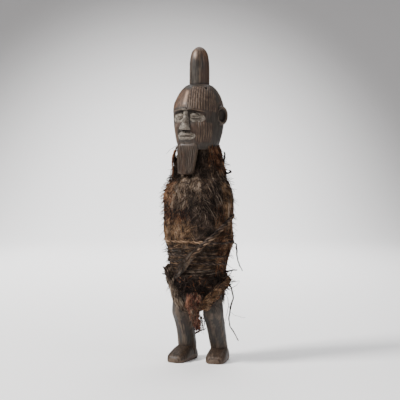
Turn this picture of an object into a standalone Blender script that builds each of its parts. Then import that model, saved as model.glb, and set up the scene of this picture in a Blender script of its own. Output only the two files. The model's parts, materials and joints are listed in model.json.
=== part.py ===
"""Standing male figure, carved from one piece of wood, with a crest, a striated face and beard and
bent knees, wrapped round the body and neck in matted palm fibre and bound with cord.
Metres, +Z up; the figure faces -Y and its left hand side is +X."""

import math

import bmesh
import bpy
import numpy as np
from mathutils import Vector

# Driving dimensions
FIGURE_HEIGHT = 0.500
CLEARANCE = 0.0003
LINING_GAP = 0.0010
MAT_THICKNESS = 0.0085
COLLAR_THICKNESS = 0.0150
COLLAR_FRONT_THICKNESS = 0.0045
COLLAR_FRONT_TURN = math.radians(58)
WAIST_CORD_RADIUS = 0.0024
BELLY_CORD_RADIUS = 0.0020
BELLY_TURNS = 2
BAND_WIDTH = 0.0090
BAND_THICKNESS = 0.0036
HIP_ROPE_RADIUS = 0.0050
HIP_ROLL_RADIUS = 0.0066
STRAND_RADIUS = 0.0009
TWIG_RADIUS = 0.0013
GROOVE_DEPTH = 0.0008
GROOVE_PITCH_DEG = 5.0

# The carving is proportioned in units of a five-hundredth of the height
UNIT = FIGURE_HEIGHT / 500

# Levels up the body
KNEE_Z = 80
MAT_BOTTOM_Z = 112
MAT_TOP_Z = 296
JAW_Z = 336
CREST_FOOT_Z = 430
CREST_TIP_Z = 500
CREST_HALF_WIDTH = 15.5
CREST_HALF_DEPTH = 16.4
BEARD_TOP_Z = 347
BEARD_BOTTOM_Z = 296.6
BEARD_HALF_WIDTH = 15.8
BEARD_FRONT = 44
BEARD_BACK = 31.2
EAR_Z = 389.5
EAR_SPREAD = 37.8
EAR_BACK = 2.5
WAIST_CORD_Z = 191
BELLY_TOP_Z = 177
BELLY_PITCH = 11.5
BAND_MIDDLE_Z = 178
BAND_RISE = 53
BAND_TURN_DEG = 20
BAND_START_DEG = -37
BAND_END_DEG = 205
BAND_POINTS = 27

# Round sections: height, half width, distance to the front, distance to the back
TRUNK = [
    (85, 21, 16, 16),
    (92, 32, 24, 23),
    (112, 35, 29, 26),
    (140, 35.5, 31, 26.5),
    (172, 39.5, 35, 28),
    (198, 44, 38, 30),
    (230, 45, 39, 32),
    (258, 45, 39, 33),
    (276, 41.5, 35, 32),
    (286, 35, 29, 29),
    (297, 25, 22, 26),
    (310, 22, 20, 25),
    (345, 22, 21, 26),
]
HEAD = [
    (336, 28, 39, 29),
    (345, 33, 43, 36),
    (360, 35.5, 45, 40),
    (376, 36.5, 46.5, 42),
    (394, 36.5, 48, 42.5),
    (407, 35.5, 47, 41.5),
    (418, 31.5, 41, 38.5),
    (428, 26, 33.5, 33.5),
    (434.5, 21, 26, 26),
    (439, 15, 17, 17),
    (441, 8, 9, 9),
]
# The crest and the beard: share of the height from base to tip, then shares of the full half sizes
CREST = [
    (0.0, 1.0, 1.0),
    (0.30, 1.0, 1.0),
    (0.54, 0.97, 0.975),
    (0.71, 0.88, 0.89),
    (0.86, 0.66, 0.67),
    (0.94, 0.41, 0.43),
    (0.985, 0.19, 0.20),
    (1.0, 0.05, 0.055),
]
BEARD = [
    (0.0, 0.92, 0.94),
    (0.12, 1.0, 0.99),
    (0.26, 0.98, 1.0),
    (0.57, 0.88, 1.0),
    (0.85, 0.76, 0.99),
    (0.95, 0.62, 0.965),
    (1.0, 0.44, 0.92),
]
# Leg sections: height, sideways, back, half width, half depth
LEG = [
    (3, 27.6, 16, 12.5, 13.5),
    (12, 27.6, 15.5, 14, 15),
    (24, 27.6, 13.5, 14, 15),
    (42, 28, 9, 14, 15.5),
    (62, 28.6, 2, 15, 16.5),
    (79, 29, -5, 16.5, 18),
    (95, 27, -5.5, 16.8, 18),
    (107, 23.5, -4, 14.5, 16),
    (120, 18, -3, 11, 13),
]
# Foot sections: distance ahead of the ankle, half width, height
FOOT = [
    (-17.5, 8.5, 9),
    (-14.5, 12, 15),
    (-6, 14, 23),
    (6, 14.8, 25),
    (16, 15.6, 22),
    (26, 16, 17.5),
    (34, 15, 14),
    (39, 12, 10.5),
    (41.5, 8, 6.5),
]
FOOT_SPLAY_DEG = {-1: 2, 1: 12}
FOOT_LENGTH = {-1: 1.10, 1: 0.92}
ANKLE = {-1: (-27.6, 9), 1: (24.8, 23)}
STRAIGHT_ANKLE = (27.6, 14)
FOOT_ROUND = 0.55

# Outer form of the mat: height, thickness as a share of the matting's own thickness
MAT_SWELL = [
    (112, 0.50),
    (120, 0.62),
    (145, 0.78),
    (172, 1.12),
    (198, 1.22),
    (225, 1.05),
    (255, 1.05),
    (276, 1.08),
    (287, 1.05),
    (292, 0.98),
    (296, 0.80),
]
MAT_LUMP = 0.11
COLLAR_SWELL = [(0.0, 0.62), (0.13, 0.96), (0.5, 1.0), (0.85, 0.94), (1.0, 0.66)]

# The hip rope's run round the body: degrees from the front, height, distance from the body's axis at least
HIP_ROPE_RUN = [
    (0, 88, 35),
    (24, 89, 38),
    (42, 95, 43),
    (58, 108, 46),
    (79, 123, 46),
    (101, 134, 46),
    (124, 140, 46),
    (150, 142, 44),
    (180, 142, 42),
    (209, 143, 44),
    (235, 146, 46),
    (262, 149, 46),
    (284, 147, 45),
    (302, 137, 45),
    (317, 122, 45),
    (330, 106, 43),
    (344, 93, 38),
]
KNOT_RUN = [(301, 121, 47.5), (295, 134, 49), (288, 147, 52), (283, 158, 54)]
KNOT_HALF = [(0.0, 3), (0.3, 6), (0.6, 5.5), (0.9, 3), (1.0, 1.2)]
TASSEL_RUN = [(4, -33, 81.2), (7.5, -31, 71), (11, -26.5, 59), (12.5, -21.5, 47)]
TASSEL_HALF = [(0.0, 6.5), (0.25, 8.8), (0.6, 8), (0.88, 4.5), (1.0, 2)]
# Dry strands that stand away from the wrapping: sideways, back, height
LONG_STRAND_RUN = [
    (48.6, 6, 124), (53, 8, 116), (55.5, 8, 104), (51, 8, 86), (48.5, 8, 72),
    (49.5, 8, 60), (56, 8, 50), (65.5, 8, 35.5),
]  # fmt: skip
WAIST_STRAND_RUN = [(58.0, 14, 186), (58.5, 15, 176), (60, 15, 163), (64, 15, 153), (69, 15, 145)]
HIP_TWIG_RUN = [(47.6, 4, 144.6), (53, 4.5, 145.6), (59, 5, 147), (64.5, 5, 147.5)]

TRUNK_COLUMNS = 24
OPEN_TAIL = 1e-9


def ease(table, at):
    """The row of a table at a key between its rows, on a smooth curve that never overshoots."""
    rows = np.array(table, float)
    keys, values = rows[:, 0], rows[:, 1:]
    steps = np.diff(values, axis=0) / np.diff(keys)[:, None]
    slopes = np.zeros_like(values)
    same_way = steps[:-1] * steps[1:] > 0
    slopes[1:-1] = np.where(same_way, 2 * steps[:-1] * steps[1:] / (steps[:-1] + steps[1:] + OPEN_TAIL), 0)
    slopes[0], slopes[-1] = steps[0], steps[-1]
    i = int(np.clip(np.searchsorted(keys, at) - 1, 0, len(keys) - 2))
    h = keys[i + 1] - keys[i]
    t = float(np.clip((at - keys[i]) / h, 0, 1))
    return (
        (2 * t**3 - 3 * t**2 + 1) * values[i]
        + (t**3 - 2 * t**2 + t) * h * slopes[i]
        + (3 * t**2 - 2 * t**3) * values[i + 1]
        + (t**3 - t**2) * h * slopes[i + 1]
    )


def bump(distance):
    """1 at no distance, falling smoothly to 0 at a distance of 1."""
    d = min(1.0, abs(distance))
    return (1 - d * d) ** 2


def smooth_step(value, low, high):
    t = min(1.0, max(0.0, (value - low) / (high - low)))
    return t * t * (3 - 2 * t)


def oval(table, z, theta, square=2.2):
    """A point of a table's section, in units: theta is 0 at the front and a quarter turn at +X."""
    half_width, front, back = ease(table, z)
    across, ahead = math.sin(theta), math.cos(theta)
    swell = (abs(across) ** square + abs(ahead) ** square) ** (-1 / square)
    depth = front if ahead > 0 else back
    return Vector((half_width * across * swell, -depth * ahead * swell, z))


def outward(theta):
    return Vector((math.sin(theta), -math.cos(theta), 0))


def even_angles(count):
    return [2 * math.pi * k / count for k in range(count)]


def material(name, colour, roughness):
    made = bpy.data.materials.new(name)
    made.use_nodes = True
    shader = made.node_tree.nodes["Principled BSDF"]
    shader.inputs["Base Color"].default_value = (*colour, 1)
    shader.inputs["Roughness"].default_value = roughness
    shader.inputs["Metallic"].default_value = 0
    return made


def lofted(name, rings, finish, joined=False):
    """One closed skin over rings of points in metres, capped at both ends, or joined end to end."""
    form = bmesh.new()
    rows = [[form.verts.new(p) for p in ring] for ring in rings]
    pairs = list(zip(rows, rows[1:]))
    if joined:
        pairs.append((rows[-1], rows[0]))
    for low, high in pairs:
        for k in range(len(low)):
            n = (k + 1) % len(low)
            form.faces.new((low[k], low[n], high[n], high[k]))
    if not joined:
        form.faces.new(rows[0][::-1])
        form.faces.new(rows[-1])
    bmesh.ops.recalc_face_normals(form, faces=form.faces)
    mesh = bpy.data.meshes.new(name)
    form.to_mesh(mesh)
    form.free()
    mesh.shade_smooth()
    mesh.set_sharp_from_angle(angle=math.radians(40))
    piece = bpy.data.objects.new(name, mesh)
    bpy.context.scene.collection.objects.link(piece)
    mesh.materials.append(finish)
    return piece


def helper(piece):
    """Keeps a piece for a Boolean only."""
    piece.hide_render = True
    piece.display_type = "WIRE"
    return piece


def combine(piece, other, operation):
    step = piece.modifiers.new(f"{operation} {other.name}", "BOOLEAN")
    step.operation = operation
    step.solver = "EXACT"
    step.object = helper(other)


def through(points, per_span, closed):
    """Points along a smooth curve through hand-set ones, in metres."""
    given = [Vector(p) * UNIT for p in points]
    n = len(given)
    made = []
    for i in range(n if closed else n - 1):
        if closed:
            a, b, c, d = (given[(i + j - 1) % n] for j in range(4))
        else:
            a, b, c, d = (given[min(max(i + j - 1, 0), n - 1)] for j in range(4))
        for s in range(per_span):
            t = s / per_span
            made.append(
                0.5
                * (2 * b + (c - a) * t + (2 * a - 5 * b + 4 * c - d) * t * t + (3 * b - a - 3 * c + d) * t**3)
            )
    return made if closed else [*made, given[-1]]


def swept(name, path, finish, half_out, half_up, sides, closed=False, lobes=0, lobe=0.0, twist=0.0):
    """A skin round a path: half_out is its half thickness away from the body's axis, half_up along it.
    half_out and half_up are functions of the share of the path; lobes give a twisted rope its plies."""
    rings = []
    count = len(path)
    for i, at in enumerate(path):
        before = path[(i - 1) % count] if closed or i else at
        after = path[(i + 1) % count] if closed or i < count - 1 else at
        along = (after - before).normalized()
        away = Vector((at.x, at.y, 0))
        away = (away - along * away.dot(along)).normalized()
        up = along.cross(away)
        share = i / count if closed else i / (count - 1)
        ring = []
        for angle in even_angles(sides):
            ply = 1 + lobe * math.cos(lobes * (angle - twist * share))
            ring.append(
                at
                + away * (math.cos(angle) * half_out(share) * ply)
                + up * (math.sin(angle) * half_up(share) * ply)
            )
        rings.append(ring)
    return lofted(name, rings, finish, joined=closed)


# Head

BROW_Z = 397
BROW_ARCH = 7
CHEEK_Z = 378
NOSE_BASE_Z = 366
MOUTH_Z = 356
MOUTH_HALF = 13
EYE_LEVEL_Z = 388.5
EYE_SPACING = 14.5
EYE_HALF = 8
LID_HALF = 4.4
FACE_HALF = 31
CROWN_GROOVE_TOP_Z = 434
CHEEK_GROOVE_TOP_Z = 380
CHEEK_GROOVE_BOTTOM_Z = 345


def face_relief(x, z):
    """How far the carving stands out from the plain head, in units, at the front of the head."""
    lift = 0.0
    across = abs(x)
    side = 1 - smooth_step(across, FACE_HALF - 10, FACE_HALF)
    if z >= BROW_Z:
        lift += 2.0 * side * bump((z - BROW_Z) / 15)
    else:
        lift -= 5.0 * side * smooth_step(z, CHEEK_Z - 9, CHEEK_Z + 6)
        lens = 1 - ((across - EYE_SPACING) / EYE_HALF) ** 2 - ((z - EYE_LEVEL_Z) / LID_HALF) ** 2
        lift += 3.4 * math.sqrt(max(0.0, lens))
    if NOSE_BASE_Z <= z <= BROW_Z + 3:
        share = (BROW_Z + 3 - z) / (BROW_Z + 3 - NOSE_BASE_Z)
        half = 3.8 + 4.4 * share**1.7
        ridge = max(0.0, 1 - (across / half) ** 2.4) ** 0.8 if across < half else 0.0
        lift += (4.5 + 6.5 * share) * ridge
        lift += 2.6 * bump((across - 6) / 3.8) * bump((z - NOSE_BASE_Z - 3.5) / 5)
    width = max(0.0, 1 - (across / MOUTH_HALF) ** 2)
    lift += 2.2 * bump(across / 20) * bump((z - MOUTH_Z) / 13)
    lift += 3.0 * width * (bump((z - MOUTH_Z - 3) / 3.4) + bump((z - MOUTH_Z + 3) / 3.4))
    return lift


def head_point(theta, level):
    """The head's surface, in units, with its brow, eyes, nose and lips. Levels dip towards the temples."""
    dip = BROW_ARCH * math.sin(theta) ** 2 * bump((level - BROW_Z) / 32) if math.cos(theta) > 0 else 0.0
    at = oval(HEAD, level - dip, theta, 2.35)
    if math.cos(theta) > 0 and JAW_Z + 4 < level < BROW_Z + 16:
        at += outward(theta) * face_relief(at.x, level)
    return at


def scored(k, z):
    """Whether column k of the head carries a groove at this height: the hair and the cheeks do."""
    if k % 2 == 0:
        return False
    hair = BROW_Z + 3 < z < CROWN_GROOVE_TOP_Z and -7 <= k <= 21
    cheek = CHEEK_GROOVE_BOTTOM_Z < z < CHEEK_GROOVE_TOP_Z and 11 <= abs(k) <= 26
    return hair or cheek


def make_head(finish):
    half_pitch = math.radians(GROOVE_PITCH_DEG / 2)
    front_columns = range(-26, 27)
    back_count = 14
    edge = 26 * half_pitch
    turns = [(k, k * half_pitch) for k in front_columns]
    turns += [(0, edge + (2 * math.pi - 2 * edge) * j / (back_count + 1)) for j in range(1, back_count + 1)]
    step = 0.05
    levels = [JAW_Z, JAW_Z + 7, JAW_Z + 13, HEAD[-1][0]]
    levels += [MOUTH_Z + d for d in (-3, 0, 3, 6.5)]
    levels += [NOSE_BASE_Z + d for d in (-step, step, 7, 14)]
    levels += [EYE_LEVEL_Z + LID_HALF * d for d in (-1, -0.5, 0, 0.5, 1)]
    levels += [BROW_Z + d for d in (-step, step, 6, 15, 24)]
    levels += [HEAD[-1][0] - d for d in (12, 6, 2)]
    levels.sort()
    rings = []
    for z in levels:
        ring = []
        for k, theta in turns:
            at = head_point(theta, z) * UNIT
            if scored(k, z):
                at -= outward(theta) * GROOVE_DEPTH
            ring.append(at)
        rings.append(ring)
    return lofted("carved_figure", rings, finish)


def make_ear(side, finish):
    """A cupped ear that flares away from the head towards the back."""
    flare = math.radians(22)
    along = Vector((side * math.sin(flare), math.cos(flare), 0))
    out = Vector((side * math.cos(flare), -math.sin(flare), 0))
    centre = Vector((side * EAR_SPREAD, EAR_BACK, EAR_Z))

    def egg(name, half_along, half_up, half_out, shift):
        rings = []
        for i in range(1, 7):
            level = -math.cos(math.pi * i / 7)
            reach = math.sqrt(1 - level * level)
            middle = centre + out * shift + Vector((0, 0, level * half_up))
            rings.append(
                [
                    (middle + along * (math.sin(a) * half_along * reach) + out * (math.cos(a) * half_out * reach))
                    * UNIT
                    for a in even_angles(10)
                ]
            )
        return lofted(name, rings, finish)

    ear = egg(f"ear_{side}", 11.5, 15.5, 6.5, 0)
    combine(ear, egg(f"ear_hollow_{side}", 7.2, 10.5, 4.6, 5.0), "DIFFERENCE")
    return ear


def make_crest(finish):
    """A tall peg of hair, cut with six broad facets."""
    rings = []
    for share in (0, 0.14, 0.3, 0.48, 0.63, 0.75, 0.84, 0.9, 0.95, 0.985, 1):
        wide, deep = ease(CREST, share)
        z = CREST_FOOT_Z + (CREST_TIP_Z - CREST_FOOT_Z) * share
        ring = []
        for theta in even_angles(18):
            facet = 1 + 0.045 * math.cos(6 * (theta - math.radians(30)))
            across = math.sin(theta) * CREST_HALF_WIDTH * wide
            back = -math.cos(theta) * CREST_HALF_DEPTH * deep
            ring.append(Vector((across * facet, back * facet, z)) * UNIT)
        rings.append(ring)
    return lofted("crest", rings, finish)


def make_beard(finish):
    """A slab of beard that hangs clear of the neck, scored with upright grooves down its front."""
    across = 19
    rings = []
    for down in (1, 0.96, 0.89, 0.75, 0.56, 0.36, 0.18, 0.08, 0):
        wide, proud = ease(BEARD, down)
        z = BEARD_TOP_Z + (BEARD_BOTTOM_Z - BEARD_TOP_Z) * down
        half_width, front, back = BEARD_HALF_WIDTH * wide, BEARD_FRONT * proud, BEARD_BACK
        ring = []
        for k in range(across):
            share = 2 * k / (across - 1) - 1
            edge = abs(share) ** 5
            groove = GROOVE_DEPTH / UNIT if k % 2 and 0.1 < down < 0.97 else 0.0
            ring.append(Vector((half_width * share, -front + 2.5 * edge + groove, z)) * UNIT)
        for share in (1, 0.4, -0.4, -1):
            inset = 0.92 if abs(share) == 1 else 1.0
            ring.append(Vector((half_width * share * inset, -back, z)) * UNIT)
        rings.append(ring)
    return lofted("beard", rings, finish)


# Body

TRUNK_LEVELS = [85, 88.5, 95, 112, 126, 145, 170, 195, 225, 256, 272, 282, 289, 296, 304, 318, 345]


def trunk_point(theta, z):
    return oval(TRUNK, z, theta, 2.3) * UNIT


def make_trunk(finish):
    rings = [[trunk_point(t, z) for t in even_angles(TRUNK_COLUMNS)] for z in TRUNK_LEVELS]
    return lofted("trunk", rings, finish)


def make_leg(side, finish):
    rings = []
    for z in [3, 12, 24, 42, 60, 72, 81, 91, 104, 120]:
        sideways, back, half_width, half_depth = ease(LEG, z)
        lean = max(0.0, 1 - z / KNEE_Z)
        middle = Vector((side * sideways, back, z))
        middle.x += lean * (ANKLE[side][0] - side * STRAIGHT_ANKLE[0])
        middle.y += lean * (ANKLE[side][1] - STRAIGHT_ANKLE[1])
        rings.append(
            [
                (middle + Vector((math.sin(a) * half_width, -math.cos(a) * half_depth, 0))) * UNIT
                for a in even_angles(14)
            ]
        )
    return lofted(f"leg_{side}", rings, finish)


def make_foot(side, finish):
    """A blocky foot with a flat sole, turned out a little."""
    splay = math.radians(FOOT_SPLAY_DEG[side])
    ahead = Vector((side * math.sin(splay), -math.cos(splay), 0))
    across = Vector((math.cos(splay), side * math.sin(splay), 0))
    ankle = Vector((*ANKLE[side], 0))
    rings = []
    for reach, half_width, height in FOOT:
        middle = ankle + ahead * (reach * FOOT_LENGTH[side])
        ring = [(middle + across * (half_width * s)) * UNIT for s in (-0.86, -0.3, 0.3, 0.86)]
        for j in range(9):
            a = math.pi * j / 8
            over = math.copysign(abs(math.cos(a)) ** FOOT_ROUND, math.cos(a))
            rise = 0.12 + 0.88 * math.sin(a) ** FOOT_ROUND if 0 < j < 8 else 0.12
            ring.append((middle + across * (half_width * over) + Vector((0, 0, height * rise))) * UNIT)
        rings.append(ring)
    return lofted(f"foot_{side}", rings, finish)


def make_figure(finish):
    figure = make_head(finish)
    for part in (make_crest(finish), make_trunk(finish), make_beard(finish)):
        combine(figure, part, "UNION")
    for side in (-1, 1):
        combine(figure, make_ear(side, finish), "UNION")
        leg = make_leg(side, finish)
        combine(leg, make_foot(side, finish), "UNION")
        combine(figure, leg, "UNION")
    return figure


# Wrapping

def mat_point(theta, z):
    """The outer surface of the mat round the body, in metres."""
    swell = float(ease(MAT_SWELL, z)[0])
    lumps = math.sin(3 * theta + z / 9) + 0.7 * math.sin(5 * theta - z / 13) - 0.8 * math.sin(theta - 0.5)
    thick = LINING_GAP + MAT_THICKNESS * swell * (1 + MAT_LUMP * lumps)
    return trunk_point(theta, z) + outward(theta) * thick


def make_mat(finish):
    """A mat of palm fibre in a tube round the body, open at its top and bottom."""
    inner_levels = [z for z in TRUNK_LEVELS if MAT_BOTTOM_Z <= z <= MAT_TOP_Z]
    outer_levels = [112, 117, 128, 141, 154, 168, 182, 197, 213, 229, 245, 260, 272, 281, 288, 293, 296]
    turns = even_angles(TRUNK_COLUMNS)
    inner = [[trunk_point(t, z) + outward(t) * LINING_GAP for t in turns] for z in inner_levels]
    outer = [[mat_point(t, z) for t in turns] for z in outer_levels]
    return lofted("fibre_wrapping", [*outer, *inner[::-1]], finish, joined=True)


def make_collar(finish):
    """A thick roll of the same fibre round the neck, thin in front, where the beard hangs."""
    low = MAT_TOP_Z * UNIT + CLEARANCE
    high = JAW_Z * UNIT - CLEARANCE
    turns = even_angles(TRUNK_COLUMNS)

    def ring(level, thick):
        made = []
        for t in turns:
            ahead = bump(min(t, 2 * math.pi - t) / COLLAR_FRONT_TURN)
            wide = thick * (COLLAR_FRONT_THICKNESS * ahead + COLLAR_THICKNESS * (1 - ahead))
            at = trunk_point(t, level / UNIT) + outward(t) * (LINING_GAP + wide)
            made.append(Vector((at.x, at.y, level)))
        return made

    inner_levels = [low] + [z * UNIT for z in TRUNK_LEVELS if MAT_TOP_Z < z < JAW_Z] + [high]
    inner = [ring(z, 0) for z in inner_levels]
    outer = []
    for share in (0.0, 0.13, 0.4, 0.65, 0.88, 1.0):
        outer.append(ring(low + (high - low) * share, float(ease(COLLAR_SWELL, share)[0])))
    return lofted("neck_wrapping", [*outer, *inner[::-1]], finish, joined=True)


def over_mat(theta, z, off):
    """A point above the mat's surface by off, in metres, with room for the mat's flat faces."""
    return mat_point(theta, z) + outward(theta) * (off + 2 * CLEARANCE)


def make_waist_cord(finish):
    radius = WAIST_CORD_RADIUS
    path = [over_mat(t, WAIST_CORD_Z, radius) for t in even_angles(TRUNK_COLUMNS)]
    return swept("waist_cord", path, finish, lambda s: radius, lambda s: radius, 5, closed=True)


def belly_level(turned):
    """The belly cord's height, in units, once it has turned this far from the middle of the back."""
    return BELLY_TOP_Z - BELLY_PITCH * turned / (2 * math.pi)


def make_belly_cord(finish):
    radius = BELLY_CORD_RADIUS
    per_turn = TRUNK_COLUMNS
    path = []
    for i in range(BELLY_TURNS * per_turn + 1):
        turned = 2 * math.pi * i / per_turn
        path.append(over_mat(turned + math.pi, belly_level(turned), radius))
    return swept("belly_cord", path, finish, lambda s: radius, lambda s: radius, 5)


def make_band(finish):
    """A flat twist of bark that runs slantwise round the body over the cords, its ends tucked in."""
    slope_reach = (BAND_WIDTH / 2 * 1.5 + BELLY_CORD_RADIUS) / UNIT
    fall = 9
    path = []
    for i in range(BAND_POINTS):
        t = math.radians(BAND_START_DEG + (BAND_END_DEG - BAND_START_DEG) * i / (BAND_POINTS - 1))
        z = BAND_MIDDLE_Z + BAND_RISE * math.sin(t - math.radians(BAND_TURN_DEG))
        crossed = [(WAIST_CORD_Z, WAIST_CORD_RADIUS)]
        for turn in range(BELLY_TURNS + 1):
            turned = (t - math.pi) % (2 * math.pi) + 2 * math.pi * turn
            if turned <= 2 * math.pi * BELLY_TURNS:
                crossed.append((belly_level(turned), BELLY_CORD_RADIUS))
        lift = 0.0
        for level, radius in crossed:
            away = max(0.0, abs(z - level) - slope_reach)
            lift = max(lift, (2 * radius + 2 * CLEARANCE) * bump(away / fall))
        path.append(over_mat(t, z, BAND_THICKNESS / 2 + lift))

    def taper(share):
        return 0.45 + 0.55 * smooth_step(min(share, 1 - share), 0, 0.06)

    return swept(
        "slanting_band",
        path,
        finish,
        lambda s: BAND_THICKNESS / 2,
        lambda s: BAND_WIDTH / 2 * taper(s),
        6,
    )


def make_hip_rope(finish):
    """A thick twisted rope round the hips that dips in front of the thighs, thickest over the left one."""
    lobe = 0.10

    def rope_radius(share):
        roll = smooth_step(share, 0.0, 0.08) * (1 - smooth_step(share, 0.24, 0.42))
        return HIP_ROPE_RADIUS + (HIP_ROLL_RADIUS - HIP_ROPE_RADIUS) * roll

    def around(degrees, z, reach):
        theta = math.radians(degrees)
        return (reach * math.sin(theta), -reach * math.cos(theta), z)

    def knot_half(share):
        return float(ease(KNOT_HALF, share)[0]) * UNIT

    run = []
    for i, (degrees, z, least) in enumerate(HIP_ROPE_RUN):
        theta = math.radians(degrees)
        mat = over_mat(theta, max(z, MAT_BOTTOM_Z), rope_radius(i / len(HIP_ROPE_RUN)) * (1 + lobe))
        reach = max(least, math.hypot(mat.x, mat.y) / UNIT)
        run.append(around(degrees, z, reach))
    path = through(run, 2, closed=True)
    rope = swept("hip_rope", path, finish, rope_radius, rope_radius, 8, True, lobes=2, lobe=lobe, twist=18)
    knot_path = through([around(*row) for row in KNOT_RUN], 2, closed=False)
    knot = swept("hip_knot", knot_path, finish, lambda s: knot_half(s) * 0.7, knot_half, 7)
    combine(rope, knot, "UNION")
    return rope


def make_tassel(finish):
    """A tuft of reddish fibre that hangs from the hip rope between the thighs."""
    path = through(TASSEL_RUN, 3, closed=False)

    def half(share):
        return float(ease(TASSEL_HALF, share)[0]) * UNIT

    return swept("loin_tassel", path, finish, lambda s: half(s) * 0.62, half, 10, lobes=5, lobe=0.08)


def make_strand(name, run, radius, finish):
    path = through(run, 2, closed=False)
    thin = 0.6

    def half(share):
        return radius * (1 - (1 - thin) * share)

    return swept(name, path, finish, half, half, 5)


def centre_on_floor(pieces):
    """Puts the origin under the middle of the whole object's box, at the soles."""
    bpy.context.view_layer.update()
    graph = bpy.context.evaluated_depsgraph_get()
    corners = [Vector(c) for piece in pieces for c in piece.evaluated_get(graph).bound_box]
    low = Vector(min(c[i] for c in corners) for i in range(3))
    high = Vector(max(c[i] for c in corners) for i in range(3))
    stand = bpy.data.objects.new("stand_point", None)
    bpy.context.scene.collection.objects.link(stand)
    stand.location = (-(low.x + high.x) / 2, -(low.y + high.y) / 2, -low.z)
    for piece in bpy.data.objects:
        if piece.type == "MESH":
            piece.parent = stand


def main():
    for old in list(bpy.data.objects):
        bpy.data.objects.remove(old)
    wood = material("dark_patinated_wood", (0.105, 0.082, 0.066), 0.55)
    fibre = material("matted_palm_fibre", (0.13, 0.075, 0.04), 0.85)
    cord = material("twisted_bark_cord", (0.19, 0.115, 0.06), 0.8)
    red = material("reddened_fibre", (0.20, 0.07, 0.035), 0.85)
    root = material("dry_rootlet", (0.05, 0.035, 0.03), 0.7)
    pieces = [
        make_figure(wood),
        make_mat(fibre),
        make_collar(fibre),
        make_waist_cord(cord),
        make_belly_cord(cord),
        make_band(cord),
        make_hip_rope(cord),
        make_tassel(red),
        make_strand("long_strand", LONG_STRAND_RUN, STRAND_RADIUS, root),
        make_strand("waist_strand", WAIST_STRAND_RUN, STRAND_RADIUS, root),
        make_strand("hip_twig", HIP_TWIG_RUN, TWIG_RADIUS, root),
    ]
    centre_on_floor(pieces)


main()
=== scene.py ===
"""Standing male figure carved from one piece of wood, wrapped round the body and the neck in matted
palm fibre and bound with bark cord: the finished looks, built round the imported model."""

import json
import math

import bmesh
import bpy
import numpy as np
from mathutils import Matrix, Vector, noise

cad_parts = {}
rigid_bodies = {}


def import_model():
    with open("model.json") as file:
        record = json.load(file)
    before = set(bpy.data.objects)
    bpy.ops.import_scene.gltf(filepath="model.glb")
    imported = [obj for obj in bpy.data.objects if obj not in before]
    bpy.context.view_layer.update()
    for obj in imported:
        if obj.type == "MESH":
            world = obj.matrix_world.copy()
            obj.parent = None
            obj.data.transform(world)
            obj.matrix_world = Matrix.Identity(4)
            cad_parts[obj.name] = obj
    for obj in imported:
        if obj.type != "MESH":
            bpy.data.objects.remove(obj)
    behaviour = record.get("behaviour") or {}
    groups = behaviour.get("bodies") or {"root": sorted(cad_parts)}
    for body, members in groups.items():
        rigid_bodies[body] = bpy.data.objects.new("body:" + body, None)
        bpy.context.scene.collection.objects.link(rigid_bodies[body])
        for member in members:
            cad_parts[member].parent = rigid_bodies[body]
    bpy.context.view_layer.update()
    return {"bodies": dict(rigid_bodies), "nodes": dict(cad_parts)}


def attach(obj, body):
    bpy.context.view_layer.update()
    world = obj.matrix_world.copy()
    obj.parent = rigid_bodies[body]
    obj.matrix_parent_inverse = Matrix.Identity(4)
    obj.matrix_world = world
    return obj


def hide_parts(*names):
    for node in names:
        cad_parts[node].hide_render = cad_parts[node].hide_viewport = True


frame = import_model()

# Studio
# A pale seamless sheet swept up all round, its colour painted bright round a spot low and a little left of
# the figure as the camera sees it and darker with distance from it, as a painted pool of light with painted
# shade round it; a soft main lamp at the figure's right, a weaker one overhead, a faint one at its left, and
# one that lights the sheet behind.
# The camera stands level, a little to the figure's left of straight ahead.

for spare in list(bpy.data.objects):
    if spare.name not in frame["nodes"] and spare.name not in [b.name for b in frame["bodies"].values()]:
        bpy.data.objects.remove(spare)

UNIT = 0.001
STAND = Vector((-0.00458, 0.00322, 0.0))
TURN = math.radians(28)
AHEAD = Vector((math.sin(TURN), -math.cos(TURN), 0))
ASIDE = Vector((math.cos(TURN), math.sin(TURN), 0))
CAMERA_REACH = 1.5
CAMERA_HEIGHT = 0.30
PIXEL = 0.001592

camera_data = bpy.data.cameras.new("camera")
camera_data.sensor_width = 36
camera_data.lens = 36 * CAMERA_REACH / (400 * PIXEL)
camera_data.shift_x = 0.5 / 400
camera_data.shift_y = (0.256 - CAMERA_HEIGHT) / PIXEL / 400
camera_data.clip_end = 20
camera = bpy.data.objects.new("camera", camera_data)
bpy.context.scene.collection.objects.link(camera)
camera.location = STAND + AHEAD * CAMERA_REACH + Vector((0, 0, CAMERA_HEIGHT))
camera.rotation_euler = AHEAD.to_track_quat("Z", "Y").to_euler()
bpy.context.scene.camera = camera


def add_node(tree, kind, settings=None, inputs=None):
    """A node with its settings; its inputs are linked where they are sockets, else set."""
    made = tree.nodes.new(kind)
    for label, value in (settings or {}).items():
        setattr(made, label, value)
    for label, value in (inputs or {}).items():
        socket = made.inputs[label]
        if isinstance(value, bpy.types.NodeSocket):
            tree.links.new(value, socket)
        else:
            socket.default_value = value
    return made


def mixed(tree, factor, a, b, blend="MIX"):
    """The colour between a and b at a factor; each is a socket or a colour."""
    made = add_node(tree, "ShaderNodeMix", {"data_type": "RGBA", "blend_type": blend})
    for index, value in ((0, factor), (6, a), (7, b)):
        if isinstance(value, bpy.types.NodeSocket):
            tree.links.new(value, made.inputs[index])
        else:
            made.inputs[index].default_value = (*value, 1) if isinstance(value, tuple) else value
    return made.outputs[2]


def sum_of(tree, operation, a, b=0.0, clamp=False):
    made = add_node(tree, "ShaderNodeMath", {"operation": operation, "use_clamp": clamp})
    for index, value in ((0, a), (1, b)):
        if isinstance(value, bpy.types.NodeSocket):
            tree.links.new(value, made.inputs[index])
        else:
            made.inputs[index].default_value = value
    return made.outputs[0]


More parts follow.
